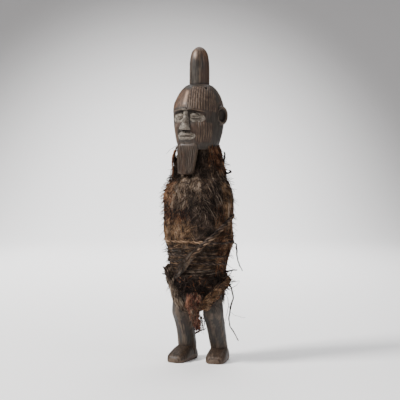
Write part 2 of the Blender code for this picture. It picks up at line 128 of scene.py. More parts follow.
def span(tree, value, low, high, out_low=0.0, out_high=1.0):
    """A value's place between low and high, smoothly, as a number from out_low to out_high."""
    ramp = add_node(
        tree,
        "ShaderNodeMapRange",
        {"interpolation_type": "SMOOTHSTEP"},
        {"From Min": low, "From Max": high, "To Min": out_low, "To Max": out_high},
    )
    tree.links.new(value, ramp.inputs["Value"])
    return ramp.outputs["Result"]


def mottle(tree, place, scale, detail=3.0, rough=0.55):
    """A cloudy pattern: place is a position socket, scale counts its patches in a metre."""
    made = add_node(tree, "ShaderNodeTexNoise", None, {"Scale": scale, "Detail": detail, "Roughness": rough})
    tree.links.new(place, made.inputs["Vector"])
    return made.outputs[0]


def stretched(tree, place, scale, turn=(0, 0, 0)):
    """A position turned and stretched, so that a pattern on it runs along the grain."""
    made = add_node(tree, "ShaderNodeMapping", None, {"Scale": scale, "Rotation": turn})
    tree.links.new(place, made.inputs["Vector"])
    return made.outputs[0]


sheet_paint = bpy.data.materials.new("seamless_paper")
sheet_paint.use_nodes = True
paper = sheet_paint.node_tree
paper_shader = paper.nodes["Principled BSDF"]
paper_shader.inputs["Roughness"].default_value = 0.9
paper_shader.inputs["Specular IOR Level"].default_value = 0.1
paper_place = add_node(paper, "ShaderNodeTexCoord").outputs["Object"]
paper_view = stretched(paper, paper_place, (1, 1, 1), (0, 0, -TURN))
paper_flat = add_node(
    paper, "ShaderNodeVectorMath", {"operation": "MULTIPLY"}, {0: paper_view, 1: (1, 0, 1)}
).outputs[0]
# Painted light and shade: the paper's colour is bright near a spot low and a little left of the figure as the
# camera sees it, and darkens with distance from it, as a painted pool of light with painted shade round it.
distance_from_painted_light_pool = add_node(
    paper, "ShaderNodeVectorMath", {"operation": "DISTANCE"}, {0: paper_flat, 1: (-0.2, 0, 0.12)}
).outputs["Value"]
paper.links.new(
    mixed(paper, span(paper, distance_from_painted_light_pool, 0.35, 1.60), (0.95, 0.94, 0.94), (0.20, 0.195, 0.195)),
    paper_shader.inputs["Base Color"],
)

FLOOR_REACH = 2.6
SWEEP = 2.6
WALL_TOP = 6.0
profile = [(0.02, 0.0), (0.3, 0.0), (0.8, 0.0), (1.6, 0.0)]
for step in range(25):
    turn = math.pi / 2 * step / 24
    profile.append((FLOOR_REACH + SWEEP * math.sin(turn), SWEEP * (1 - math.cos(turn))))
profile += [(FLOOR_REACH + SWEEP, 4.0), (FLOOR_REACH + SWEEP, WALL_TOP)]
sheet_form = bmesh.new()
sheet_rows = [
    [
        sheet_form.verts.new((r * math.cos(a), r * math.sin(a), z))
        for a in np.linspace(0, 2 * math.pi, 96, endpoint=False)
    ]
    for r, z in profile
]
sheet_form.faces.new(sheet_rows[0])
for near, far in zip(sheet_rows, sheet_rows[1:]):
    for k in range(96):
        sheet_form.faces.new((near[k], far[k], far[(k + 1) % 96], near[(k + 1) % 96]))
sheet_mesh = bpy.data.meshes.new("seamless_sheet")
sheet_form.to_mesh(sheet_mesh)
sheet_form.free()
sheet_mesh.shade_smooth()
sheet_mesh.materials.append(sheet_paint)
seamless_sheet = bpy.data.objects.new("seamless_sheet", sheet_mesh)
bpy.context.scene.collection.objects.link(seamless_sheet)

world = bpy.data.worlds.new("pale_room")
world.use_nodes = True
world.node_tree.nodes["Background"].inputs["Color"].default_value = (0.80, 0.81, 0.83, 1)
world.node_tree.nodes["Background"].inputs["Strength"].default_value = 0.88
bpy.context.scene.world = world


def soft_lamp(name, aside, ahead, height, size, power, colour=(1, 1, 1), aim=(0, 0, 0.27)):
    """A square soft lamp at a place beside and ahead of the figure, as the camera sees it, turned to aim."""
    lamp = bpy.data.lights.new(name, "AREA")
    lamp.shape = "SQUARE"
    lamp.size = size
    lamp.energy = power
    lamp.color = colour
    made = bpy.data.objects.new(name, lamp)
    made.location = STAND + ASIDE * aside + AHEAD * ahead + Vector((0, 0, height))
    made.rotation_euler = (made.location - Vector(aim)).to_track_quat("Z", "Y").to_euler()
    made.visible_camera = False
    bpy.context.scene.collection.objects.link(made)


soft_lamp("key_lamp", -2.5, 1.0, 2.2, 0.9, 215, (1.0, 0.985, 0.96))
soft_lamp("top_lamp", 0.2, -1.6, 3.4, 2.2, 82)
soft_lamp("backdrop_lamp", 0, -1.4, 2.6, 1.4, 150, (1, 1, 1), AHEAD * -5 + Vector((0, 0, 0.5)))
soft_lamp("fill_lamp", 2.8, 1.8, 1.4, 2.0, 42, (0.97, 0.98, 1.0))

# Carved figure
# One piece of dense wood, cut with an adze and a knife and darkened by handling: a head with a peg of hair,
# scored striations and a slab of beard, a trunk, and bent legs on blocky feet. Oxide and kaolin are rubbed
# into the face. Its colour also carries painted shade, near black in the hollows, the grooves, the cracks and
# the hole at the crest's foot, and painted highlights on the forehead and the crest.

KNEE_Z = 80
JAW_Z = 336
CREST_FOOT_Z = 430
CREST_TIP_Z = 500
CREST_HALF_WIDTH = 15.5
CREST_HALF_DEPTH = 16.4
BEARD_TOP_Z = 347
BEARD_BOTTOM_Z = 296.6
BEARD_HALF_WIDTH = 15.8
BEARD_FRONT = 44
BEARD_BACK = 31.2
BEARD_ASIDE = 5.2
EAR_Z = 389.5
EAR_SPREAD = 37.8
EAR_BACK = 2.5
BROW_Z = 397
BROW_ARCH = 7
CHEEK_Z = 378
NOSE_BASE_Z = 366
MOUTH_Z = 356
MOUTH_HALF = 13
EYE_LEVEL_Z = 388.5
EYE_SPACING = 14.5
EYE_HALF = 8
LID_HALF = 4.4
GROOVE_PITCH_DEG = 5.7
GROOVE_FACE_DEG = 30
GROOVE_DEPTH = 0.95
HEAD_HALF = 36.5
CROWN_GROOVE_TOP_Z = 436

TRUNK = [
    (85, 21, 16, 16), (92, 32, 24, 23), (112, 35, 29, 26), (140, 35.5, 31, 26.5), (172, 39.5, 35, 28),
    (198, 44, 38, 30), (230, 45, 39, 32), (258, 45, 39, 33), (276, 41.5, 35, 32), (286, 35, 29, 29),
    (297, 25, 22, 26), (310, 22, 20, 25), (345, 22, 21, 26),
]
HEAD = [
    (336, 26, 39, 25), (345, 30.5, 43, 30), (360, 34, 45, 36), (376, 36, 46.5, 41), (394, 36.5, 48, 42.5),
    (407, 35.5, 47, 41.5), (418, 32, 41, 38.5), (428, 27.2, 34, 34), (434.5, 22.6, 26.5, 26.5),
    (439, 16.6, 17.6, 17.6), (441, 9, 9, 9),
]
CREST = [
    (0.0, 1.0, 1.0), (0.30, 1.0, 1.0), (0.54, 0.985, 0.985), (0.71, 0.93, 0.935), (0.80, 0.86, 0.87),
    (0.88, 0.73, 0.74), (0.945, 0.51, 0.52), (0.985, 0.27, 0.28), (1.0, 0.06, 0.065),
]
BEARD = [
    (0.0, 0.96, 0.94), (0.12, 1.05, 0.99), (0.26, 1.04, 1.0), (0.57, 0.95, 1.0), (0.85, 0.83, 0.99),
    (0.95, 0.70, 0.965), (1.0, 0.50, 0.92),
]
LEG = [
    (3, 27.6, 16, 12.5, 13.5), (12, 27.6, 15.5, 14, 15), (24, 27.6, 13.5, 14, 15), (42, 28, 9, 14, 15.5),
    (62, 28.6, 2, 15, 16.5), (79, 29, -5, 16.5, 18), (95, 27, -5.5, 16.8, 18), (107, 23.5, -4, 14.5, 16),
    (120, 18, -3, 11, 13),
]
FOOT = [
    (-17.5, 8.5, 9), (-14.5, 12, 15), (-6, 14, 23), (6, 14.8, 25), (16, 15.6, 22), (26, 16, 17.5),
    (34, 15, 14), (39, 12, 10.5), (41.5, 8, 6.5),
]
FOOT_SPLAY_DEG = {-1: 2, 1: 12}
FOOT_LENGTH = {-1: 1.04, 1: 0.92}
ANKLE = {-1: (-27.6, 9), 1: (24.8, 23)}
STRAIGHT_ANKLE = (27.6, 14)
FOOT_ROUND = 0.55


def ease(table, at):
    """The rows of a table at keys between its rows, on a smooth curve that never overshoots."""
    rows = np.array(table, float)
    keys, values = rows[:, 0], rows[:, 1:]
    steps = np.diff(values, axis=0) / np.diff(keys)[:, None]
    slopes = np.zeros_like(values)
    same_way = steps[:-1] * steps[1:] > 0
    slopes[1:-1] = np.where(same_way, 2 * steps[:-1] * steps[1:] / (steps[:-1] + steps[1:] + 1e-9), 0)
    slopes[0], slopes[-1] = steps[0], steps[-1]
    at = np.asarray(at, float)
    i = np.clip(np.searchsorted(keys, at) - 1, 0, len(keys) - 2)
    h = (keys[i + 1] - keys[i])[..., None]
    t = np.clip((at - keys[i])[..., None] / h, 0, 1)
    return (
        (2 * t**3 - 3 * t**2 + 1) * values[i]
        + (t**3 - 2 * t**2 + t) * h * slopes[i]
        + (3 * t**2 - 2 * t**3) * values[i + 1]
        + (t**3 - t**2) * h * slopes[i + 1]
    )


def bump(distance):
    """1 at no distance, falling smoothly to 0 at a distance of 1."""
    d = np.minimum(1.0, np.abs(distance))
    return (1 - d * d) ** 2


def smooth_step(value, low, high):
    t = np.clip((value - low) / (high - low), 0, 1)
    return t * t * (3 - 2 * t)


def oval(table, z, theta, square=2.2):
    """Points of a table's sections: theta is 0 at the front and a quarter turn at the figure's left."""
    rows = ease(table, z)
    across, ahead = np.sin(theta), np.cos(theta)
    swell = (np.abs(across) ** square + np.abs(ahead) ** square) ** (-1 / square)
    depth = np.where(ahead > 0, rows[..., 1], rows[..., 2])
    z = z + 0 * theta
    return np.stack([rows[..., 0] * across * swell, -depth * ahead * swell, z], -1)


def outward(theta):
    return np.stack([np.sin(theta), -np.cos(theta), 0 * theta], -1)


def skin(name, rings, joined=False):
    """One closed skin over rows of points in units, capped at both ends, or joined end to end."""
    points = np.asarray(rings, float) * UNIT + np.array(STAND)
    rows, columns = points.shape[:2]
    count = rows if joined else rows - 1
    low = (np.arange(count)[:, None] * columns + np.arange(columns)[None, :]).ravel()
    side = (np.arange(count)[:, None] * columns + (np.arange(columns)[None, :] + 1) % columns).ravel()
    total = rows * columns
    faces = np.stack([low, side, (side + columns) % total, (low + columns) % total], -1).tolist()
    if not joined:
        faces.append(list(range(columns))[::-1])
        faces.append(list(range(total - columns, total)))
    mesh = bpy.data.meshes.new(name)
    mesh.from_pydata(points.reshape(-1, 3).tolist(), [], faces)
    form = bmesh.new()
    form.from_mesh(mesh)
    bmesh.ops.recalc_face_normals(form, faces=form.faces)
    form.to_mesh(mesh)
    form.free()
    made = bpy.data.objects.new(name, mesh)
    bpy.context.scene.collection.objects.link(made)
    return made


def settled(piece, name):
    """A plain mesh of a piece with its modifiers worked in, under a new name."""
    bpy.context.view_layer.update()
    graph = bpy.context.evaluated_depsgraph_get()
    mesh = bpy.data.meshes.new_from_object(
        piece.evaluated_get(graph), preserve_all_data_layers=True, depsgraph=graph
    )
    piece.modifiers.clear()
    mesh.name = name
    made = bpy.data.objects.new(name, mesh)
    bpy.context.scene.collection.objects.link(made)
    return made


def discard(*pieces):
    for piece in pieces:
        bpy.data.objects.remove(piece)


def face_relief(x, z):
    """How far the carving stands out from the plain head, in units, at the front of the head."""
    across = np.abs(x)
    side = 1 - smooth_step(across, 21, 31)
    above = smooth_step(z, BROW_Z - 1.4, BROW_Z + 0.8)
    lift = above * 2.0 * side * bump((z - BROW_Z) / 15)
    lift = lift - (1 - above) * 5.0 * side * smooth_step(z, CHEEK_Z - 9, CHEEK_Z + 6)
    lens = 1 - ((across - EYE_SPACING) / EYE_HALF) ** 2 - ((z - EYE_LEVEL_Z) / LID_HALF) ** 2
    lid = np.sqrt(np.maximum(0.0, lens))
    slit = EYE_LEVEL_Z - 1.2 + 0.9 * ((across - EYE_SPACING) / EYE_HALF) ** 2
    lift = lift + (1 - above) * (3.4 * lid - 1.0 * smooth_step(lid, 0.1, 0.45) * bump((z - slit) / 0.95))
    share = np.clip((BROW_Z + 3 - z) / (BROW_Z + 3 - NOSE_BASE_Z), 0, 1)
    nose = smooth_step(z, NOSE_BASE_Z - 0.9, NOSE_BASE_Z + 0.7) * smooth_step(BROW_Z + 4 - z, 0, 3)
    half = 3.8 + 4.4 * share**1.7
    ridge = np.maximum(0.0, 1 - (across / half) ** 2.4) ** 0.8
    lift = lift + nose * (4.5 + 6.5 * share) * ridge
    lift = lift + nose * 2.6 * bump((across - 6) / 3.8) * bump((z - NOSE_BASE_Z - 3.5) / 5)
    lift = lift - 0.9 * bump((across - 7.6) / 1.2) * bump((z - NOSE_BASE_Z - 6.5) / 5)
    lift = lift - 2.2 * bump((across - 3.6) / 2.1) * bump((z - NOSE_BASE_Z + 0.1) / 1.2)
    width = np.maximum(0.0, 1 - (across / MOUTH_HALF) ** 2)
    lift = lift + 2.2 * bump(across / 20) * bump((z - MOUTH_Z) / 13)
    bow = MOUTH_Z + 3 + 0.5 * bump((across - 3.2) / 3)
    lift = lift + 3.0 * width * (bump((z - bow) / 3.4) + bump((z - MOUTH_Z + 3) / 3.4))
    lift = lift - 0.8 * bump(across / 1.8) * bump((z - 362.3) / 3)
    return lift - 0.9 * smooth_step(width, 0, 0.25) * bump((z - MOUTH_Z) / 0.9)


def brow_dip(theta, level):
    return np.where(np.cos(theta) > 0, BROW_ARCH * np.sin(theta) ** 2 * bump((level - BROW_Z) / 32), 0.0)


def scored_area(theta, level):
    """Where the head carries striations: the hair and the forehead, and both cheeks. From 0 to 1."""
    degrees = np.degrees((theta + math.pi) % (2 * math.pi) - math.pi)
    hair = (
        smooth_step(level, BROW_Z + 1.5, BROW_Z + 5)
        * (1 - smooth_step(level, CROWN_GROOVE_TOP_Z - 3, CROWN_GROOVE_TOP_Z))
    )
    turn = smooth_step(degrees, 2, 5) * (1 - smooth_step(degrees, 76, 82))
    behind = smooth_step(np.abs(degrees), 96, 104) * smooth_step(level, 352, 362)
    cheek = smooth_step(level, 345, 349) * (1 - smooth_step(level, 377, 381))
    cheek = cheek * smooth_step(np.abs(degrees), 26, 29) * (1 - smooth_step(np.abs(degrees), 64, 68))
    return np.maximum(np.maximum(hair * turn, hair * behind * 0.8), cheek)


def groove(theta, level):
    """The knife's V grooves: one every few degrees, upright on the crown too, and faint ones between them."""
    crown = ease(HEAD, np.clip(level, BROW_Z, 441))[..., 0] / HEAD_HALF
    degrees = GROOVE_FACE_DEG + (np.degrees(theta) - GROOVE_FACE_DEG) * crown
    degrees = degrees + 0.30 * np.sin(level / 8.3) + 0.12 * np.sin(level / 3.7 + 1)
    main = np.abs((degrees - GROOVE_PITCH_DEG / 2) % GROOVE_PITCH_DEG - GROOVE_PITCH_DEG / 2)
    between = np.abs(degrees % GROOVE_PITCH_DEG - GROOVE_PITCH_DEG / 2)
    main = 1 - np.minimum(1, np.abs(GROOVE_PITCH_DEG / 2 - main) / 1.35)
    between = 1 - np.minimum(1, np.abs(GROOVE_PITCH_DEG / 2 - between) / 0.8)
    return np.maximum(main, 0.18 * between * (1 - smooth_step(level, 414, 422)))


def head_surface(theta, level):
    """The head, in units, with its brow, eyes, nose, lips and striations."""
    at = oval(HEAD, level - brow_dip(theta, level), theta, 2.35)
    front = (
        (np.cos(theta) > 0)
        * smooth_step(level, JAW_Z + 3, JAW_Z + 8)
        * (1 - smooth_step(level, 412, 415))
    )
    lift = front * face_relief(at[..., 0], level)
    lift = lift - GROOVE_DEPTH * groove(theta, level) * scored_area(theta, level)
    return at + outward(theta) * lift[..., None]


front_turns = np.arange(-80, 80.01, 0.8)
back_turns = np.arange(82.5, 279, 2.5)
head_turns = np.radians(np.concatenate([front_turns, back_turns]))
head_levels = np.concatenate(
    [
        np.arange(336, 350, 1.0),
        np.arange(350, 402, 0.55),
        np.arange(402, 434, 0.9),
        np.arange(434, 440.9, 0.7),
        [441],
    ]
)
head_theta, head_level = np.meshgrid(head_turns, head_levels)
head = skin("head", head_surface(head_theta, head_level))

crest_turns, crest_shares = np.meshgrid(
    np.linspace(0, 2 * math.pi, 84, endpoint=False), 1 - (1 - np.linspace(0, 1, 56)) ** 1.35
)
crest_rows = ease(CREST, crest_shares)
from_edge = (crest_turns - math.radians(32)) % math.radians(60) - math.radians(30)
flat = math.cos(math.radians(30)) / np.cos(from_edge)
crest_factor = 1.06 * (0.72 + 0.28 * flat)
crest = skin(
    "crest",
    np.stack(
        [
            np.sin(crest_turns) * CREST_HALF_WIDTH * crest_rows[..., 0] * crest_factor,
            -np.cos(crest_turns) * CREST_HALF_DEPTH * crest_rows[..., 1] * crest_factor,
            CREST_FOOT_Z + (CREST_TIP_Z - CREST_FOOT_Z) * crest_shares,
        ],
        -1,
    ),
)

beard_down = np.linspace(1, 0, 64)[:, None]
beard_across = np.linspace(-1, 1, 109)[None, :]
beard_rows = ease(BEARD, beard_down[:, 0])[:, None, :]
beard_groove = np.abs((beard_across * 10 + 0.25 * np.sin(beard_down * 9 + beard_across * 7)) % 2 - 1)
beard_groove = np.maximum(0, 1 - np.abs(1 - beard_groove) / 0.42)
beard_fine = np.maximum(0, 1 - np.abs(((beard_across * 9) % 2) - 1) / 0.25)
beard_scored = smooth_step(beard_down, 0.08, 0.16) * (1 - smooth_step(beard_down, 0.93, 1.0) * 0.6)
beard_front = np.stack(
    [
        BEARD_HALF_WIDTH * beard_rows[..., 0] * beard_across - BEARD_ASIDE * beard_down,
        -BEARD_FRONT * beard_rows[..., 1]
        + 2.6 * np.abs(beard_across) ** 5
        + beard_scored * (0.95 * beard_groove + 0.35 * beard_fine),
        BEARD_TOP_Z + (BEARD_BOTTOM_Z - BEARD_TOP_Z) * beard_down + 0 * beard_across,
    ],
    -1,
)
beard_sides = []
for across, back in (
    (1.0, 0.3), (0.98, 0.65), (0.93, 1.0), (0.4, 1.0), (0.0, 1.0), (-0.4, 1.0), (-0.93, 1.0),
    (-0.98, 0.65), (-1.0, 0.3),
):
    front = -BEARD_FRONT * beard_rows[..., 1] + 2.6
    beard_sides.append(
        np.stack(
            [
                BEARD_HALF_WIDTH * beard_rows[..., 0] * across - BEARD_ASIDE * beard_down,
                front * (1 - back) - BEARD_BACK * back,
                BEARD_TOP_Z + (BEARD_BOTTOM_Z - BEARD_TOP_Z) * beard_down,
            ],
            -1,
        )
    )
beard = skin("beard", np.concatenate([beard_front, *beard_sides], axis=1))


def carved_ear(side):
    """A cupped ear that flares away from the head, hollowed on its outer face."""
    flare = math.radians(30)
    along = np.array((side * math.sin(flare), math.cos(flare), 0))
    out = np.array((side * math.cos(flare), -math.sin(flare), 0))
    centre = np.array((side * EAR_SPREAD, EAR_BACK, EAR_Z))
    turn, rise = np.meshgrid(np.linspace(0, 2 * math.pi, 64, endpoint=False), np.linspace(-0.985, 0.985, 44))
    reach = np.sqrt(1 - rise**2)
    u, v, w = np.sin(turn) * reach, rise, np.cos(turn) * reach
    inside = np.sqrt((u / 0.78) ** 2 + (v / 0.80) ** 2)
    hollow = np.where(w > 0, 8.2 * (1 - smooth_step(inside, 0.55, 1.0)), 0)
    knob = np.where(w > 0, 1.6 * bump(np.sqrt((u + 0.62) ** 2 + (v + 0.1) ** 2) / 0.3), 0)
    return skin(
        f"ear_{side}",
        centre
        + along * (u * 11.5)[..., None]
        + np.array((0, 0, 1)) * (v * 15.5)[..., None]
        + out * (w * 6.5 - hollow + knob)[..., None],
    )


trunk_theta, trunk_z = np.meshgrid(np.linspace(0, 2 * math.pi, 60, endpoint=False), np.linspace(85, 345, 40))
trunk = skin("trunk", oval(TRUNK, trunk_z, trunk_theta, 2.3))


def carved_leg(side):
    turn, z = np.meshgrid(np.linspace(0, 2 * math.pi, 68, endpoint=False), np.linspace(3, 120, 90))
    rows = ease(LEG, z)
    lean = np.maximum(0.0, 1 - z / KNEE_Z)
    facet = 0.985 - 0.022 * np.cos(6 * turn + z / 26) - 0.010 * np.cos(3 * turn - z / 17)
    facet = (
        facet
        - (0.06 if side < 0 else 0.05) * bump((z - 88) / 26)
        + (0.07 if side < 0 else 0) * bump((z - 20) / 30)
    )
    inward = 2.4 * bump((z - 60) / 62) if side > 0 else 0
    x = (
        side * rows[..., 0]
        - inward
        + lean * (ANKLE[side][0] - side * STRAIGHT_ANKLE[0])
        + np.sin(turn) * rows[..., 2] * facet
    )
    y = rows[..., 1] + lean * (ANKLE[side][1] - STRAIGHT_ANKLE[1]) - np.cos(turn) * rows[..., 3] * facet
    return skin(f"leg_{side}", np.stack([x, y, z], -1))


def carved_foot(side):
    """A blocky foot with a flat sole and the toes only hinted at, turned out a little."""
    splay = math.radians(FOOT_SPLAY_DEG[side])
    ahead = np.array((side * math.sin(splay), -math.cos(splay), 0))
    across = np.array((math.cos(splay), side * math.sin(splay), 0))
    ankle = np.array((*ANKLE[side], 0))
    reach = np.linspace(-17.5, 41.5, 70)[:, None]
    rows = ease(FOOT, reach[:, 0])[:, None, :]
    over_turn = np.linspace(0, math.pi, 65)[None, 1:-1]
    over = np.sign(np.cos(over_turn)) * np.abs(np.cos(over_turn)) ** FOOT_ROUND
    rise = 0.12 + 0.88 * np.sin(over_turn) ** FOOT_ROUND
    toes = smooth_step(reach, 24, 34) * bump(((over * 2.5 + 0.5) % 1 - 0.5) / 0.22) * (np.abs(over) < 0.85)
    rise = rise - 0.022 * toes
    sole = np.array([[-1.0, -0.86, -0.43, 0, 0.43, 0.86, 1.0]])
    sole_rise = np.array([[0.12, 0, 0, 0, 0, 0, 0.12]])
    over = np.concatenate([over + 0 * reach, sole + 0 * reach], axis=1)
    rise = np.concatenate([rise + 0 * reach, sole_rise + 0 * reach], axis=1)
    points = (
        ankle
        + ahead * (reach * FOOT_LENGTH[side] + 0 * over)[..., None]
        + across * (rows[..., 0] * over)[..., None]
        + np.array((0, 0, 1)) * (rows[..., 1] * rise)[..., None]
    )
    return skin(f"foot_{side}", points)


parts = [crest, trunk, beard]
for side in (-1, 1):
    parts += [carved_ear(side), carved_leg(side), carved_foot(side)]
for part in parts:
    union = head.modifiers.new(part.name, "BOOLEAN")
    union.operation = "UNION"
    union.solver = "EXACT"
    union.object = part
figure = settled(head, "carved_figure_wood")
discard(head, *parts)


def read(mesh, what="co"):
    values = np.zeros(len(mesh.vertices) * 3)
    mesh.vertices.foreach_get(what, values)
    return values.reshape(-1, 3)


def write_mask(mesh, name, values):
    layer = mesh.attributes.new(name, "FLOAT", "POINT")
    layer.data.foreach_set("value", np.asarray(values, np.float32))


def standing_out(mesh, rounds):
    """How far each point stands out from its smoothed surroundings: worn edges above 0, hollows below."""
    points = read(mesh)
    edges = np.zeros(len(mesh.edges) * 2, int)
    mesh.edges.foreach_get("vertices", edges)
    a, b = edges.reshape(-1, 2).T
    count = np.bincount(np.concatenate([a, b]), minlength=len(points))[:, None]
    smooth = points.copy()
    for _ in range(rounds):
        total = np.zeros_like(points)
        for axis in range(3):
            total[:, axis] = (
                np.bincount(a, smooth[b, axis], len(points))
                + np.bincount(b, smooth[a, axis], len(points))
            )
        smooth = 0.4 * smooth + 0.6 * total / np.maximum(count, 1)
    return np.einsum("ij,ij->i", points - smooth, read(mesh, "normal"))


figure_mesh = figure.data
points = read(figure_mesh)
normals = read(figure_mesh, "normal")
own = (points - np.array(STAND)) / UNIT
x, y, z = own.T
tool_marks = np.array([noise.noise(Vector((p[0] / 6.5, p[1] / 6.5, p[2] / 13))) for p in own])
fine_marks = np.array(
    [noise.noise(Vector((p[0] / 1.9, p[1] / 1.9, p[2] / 9)) + Vector((40, 7, 3))) for p in own]
)
bare_face = np.where((z > 345) & (z < 400) & (y < -30), 0.35, 1.0)
keep_flat = smooth_step(z, 0.0, 3.0)
shift = keep_flat * bare_face * (0.26 * tool_marks + 0.10 * fine_marks)
hole = oval(HEAD, np.array(432.0), np.array(math.radians(56)), 2.35)
hole_near = np.minimum(1, 1.6 * bump(np.linalg.norm(own - hole, axis=1) / 3.2))
shift = shift - 3.4 * hole_near
cracks = [(-24.5, 14, 34, 66, -0.2), (31, 10, 30, 56, 0.2)]
crack_mask = np.zeros(len(own))
for crack_x, crack_y, low, high, slant in cracks:
    line = crack_x + slant * np.sin(z / 19.0)
    near = (
        0.6
        * bump((x - line) / 0.7)
        * (y < crack_y)
        * bump((z - (low + high) / 2) / ((high - low) / 2)) ** 0.5
    )
    crack_mask = np.maximum(crack_mask, near * (z < 110))
aside, ahead = own @ np.array(ASIDE), own @ np.array(AHEAD)
crest_crack = (
    bump((aside - 4.7 - 0.5 * np.sin(z / 3.1)) / 1.0)
    * bump((z - 473) / 12) ** 0.5
    * (ahead > 0)
    * (z > 442)
)
crack_mask = np.maximum(crack_mask, crest_crack)
shift = shift - 0.7 * crack_mask
points += normals * (shift * UNIT)[:, None]
points[:, 2] = np.maximum(points[:, 2], 0)
figure_mesh.vertices.foreach_set("co", points.ravel())
figure_mesh.update()

head_part = z > 336
level = z.copy()
rows = ease(HEAD, np.clip(level, 336, 441))
theta = np.arctan2(x / rows[:, 0], -y / np.where(y < 0, rows[:, 1], rows[:, 2]))
for _ in range(3):
    level = z + brow_dip(theta, level)
across = np.abs(x)
in_front = head_part & (y < -20)
on_head = head_part & (z < 441) & (np.abs(x) < 41) & (np.hypot(x / 38, y / 50) < 1.12)
lids = smooth_step(1 - ((across - 15) / 13.5) ** 2 - ((level - 386.5) / 8.5) ** 2, 0, 0.18)
nose_share = np.clip((BROW_Z + 3 - level) / (BROW_Z + 3 - NOSE_BASE_Z), 0, 1)
on_nose = (
    (1 - smooth_step(across - (4.6 + 4.6 * nose_share**1.7), -0.6, 0.8))
    * smooth_step(level, 365, 366)
    * (1 - smooth_step(level, 396, 400))
)
lips = smooth_step(1 - (across / 16) ** 2 - ((level - 356.5) / 7.5) ** 2, 0, 0.2)
kaolin = in_front * (level < 399) * np.maximum(np.maximum(lids * (level < 396), on_nose), lips)
write_mask(figure_mesh, "kaolin", kaolin)
striated = np.where(on_head, scored_area(theta, level), 0)
on_beard = (z > 297) & (z < 346) & (y < -40) & (np.abs(x) < 16)
write_mask(figure_mesh, "striated", np.maximum(striated, 0.22 * on_beard))
# The groove mask marks where painted shade goes: the grooves, the hole at the crest's foot and the cracks.
write_mask(
    figure_mesh,
    "groove",
    np.clip(np.where(on_head, groove(theta, level) * striated, 0) + hole_near + crack_mask, 0, 1),
)
# A bright patch on the forehead and one near the tip of the crest, placed by where the camera sees them:
# painted highlights, on wood that is also polished smoother there.
polish_and_painted_highlight = on_head * smooth_step(level, 403, 408) * (1 - smooth_step(level, 424, 430))
polish_and_painted_highlight = 0.85 * polish_and_painted_highlight * bump((aside + 21.8 - (level - 414) * 0.24) / 3.7)
on_crest = (z > 442) & (np.hypot(x, y) < 19)
polish_and_painted_highlight = polish_and_painted_highlight + 0.75 * on_crest * bump(np.hypot((aside + 6.5) / 4.5, (z - 487) / 11)) * (ahead > 0)
write_mask(figure_mesh, "polish_and_painted_highlight", polish_and_painted_highlight)
rubbed = on_head * smooth_step(level, 400, 404) * (1 - smooth_step(level, 426, 434))
rubbed = rubbed * smooth_step(np.degrees(theta), -85, -60) * (1 - smooth_step(np.degrees(theta), -2, 5))
rubbed = np.maximum(
    0.55 * rubbed, on_crest * smooth_step(z, 470, 488) * (0.35 + 0.65 * bump((aside - 10) / 8))
)
write_mask(figure_mesh, "rubbed", rubbed)
write_mask(figure_mesh, "relief", np.clip(standing_out(figure_mesh, 5) / 0.00022, -1, 1))
write_mask(figure_mesh, "relief_wide", np.clip(standing_out(figure_mesh, 24) / 0.0008, -1, 1))
figure_mesh.shade_smooth()
figure_mesh.set_sharp_from_angle(angle=math.radians(50))


def group_tree(name, kind, inputs, outputs):
    """An empty node group with named sockets, and its input and output nodes."""
    tree = bpy.data.node_groups.new(name, kind)
    for direction, sockets in (("INPUT", inputs), ("OUTPUT", outputs)):
        for label, socket_kind, value in sockets:
            socket = tree.interface.new_socket(
                name=label, in_out=direction, socket_type=f"NodeSocket{socket_kind}"
            )
            if value is not None:
                socket.default_value = value
    return tree, tree.nodes.new("NodeGroupInput"), tree.nodes.new("NodeGroupOutput")


grain_group, grain_in, grain_out = group_tree(
    "wood_grain",
    "ShaderNodeTree",
    [("Place", "Vector", None), ("Fineness", "Float", 1.0)],
    [("Streak", "Float", None), ("Cloud", "Float", None), ("Pore", "Float", None)],
)
grain_place = add_node(
    grain_group,
    "ShaderNodeVectorMath",
    {"operation": "SCALE"},
    {"Vector": grain_in.outputs["Place"], "Scale": grain_in.outputs["Fineness"]}
).outputs[0]
grain_group.links.new(
    mottle(grain_group, stretched(grain_group, grain_place, (1, 1, 0.10)), 420, 4, 0.6),
    grain_out.inputs["Streak"]
)
grain_group.links.new(
    mottle(grain_group, stretched(grain_group, grain_place, (1, 1, 0.45)), 62, 4, 0.6),
    grain_out.inputs["Cloud"]
)
grain_group.links.new(
    mottle(grain_group, stretched(grain_group, grain_place, (1, 1, 0.06)), 1300, 2, 0.5),
    grain_out.inputs["Pore"]
)


def mask_of(tree, name):
    return add_node(tree, "ShaderNodeAttribute", {"attribute_name": name}).outputs["Fac"]


wood = bpy.data.materials.new("dark_patinated_wood")
wood.use_nodes = True
tree = wood.node_tree
shader = tree.nodes["Principled BSDF"]
place = add_node(tree, "ShaderNodeTexCoord").outputs["Object"]
height = add_node(tree, "ShaderNodeSeparateXYZ", None, {"Vector": place}).outputs["Z"]
grain = add_node(tree, "ShaderNodeGroup", {"node_tree": grain_group}, {"Place": place, "Fineness": 1.0})
streak, cloud, pore = grain.outputs["Streak"], grain.outputs["Cloud"], grain.outputs["Pore"]
relief, relief_wide = mask_of(tree, "relief"), mask_of(tree, "relief_wide")
colour = mixed(tree, span(tree, cloud, 0.35, 0.65), (0.011, 0.008, 0.006), (0.032, 0.025, 0.020))
colour = mixed(tree, span(tree, streak, 0.44, 0.68, 0, 0.7), colour, (0.052, 0.042, 0.034))
reddish = mottle(tree, stretched(tree, place, (1, 1, 0.5)), 38, 3, 0.6)
colour = mixed(tree, span(tree, reddish, 0.48, 0.66, 0, 0.6), colour, (0.056, 0.028, 0.017))
legs = span(tree, height, 0.02, 0.035)
low_down = span(tree, height, 0.12, 0.10)
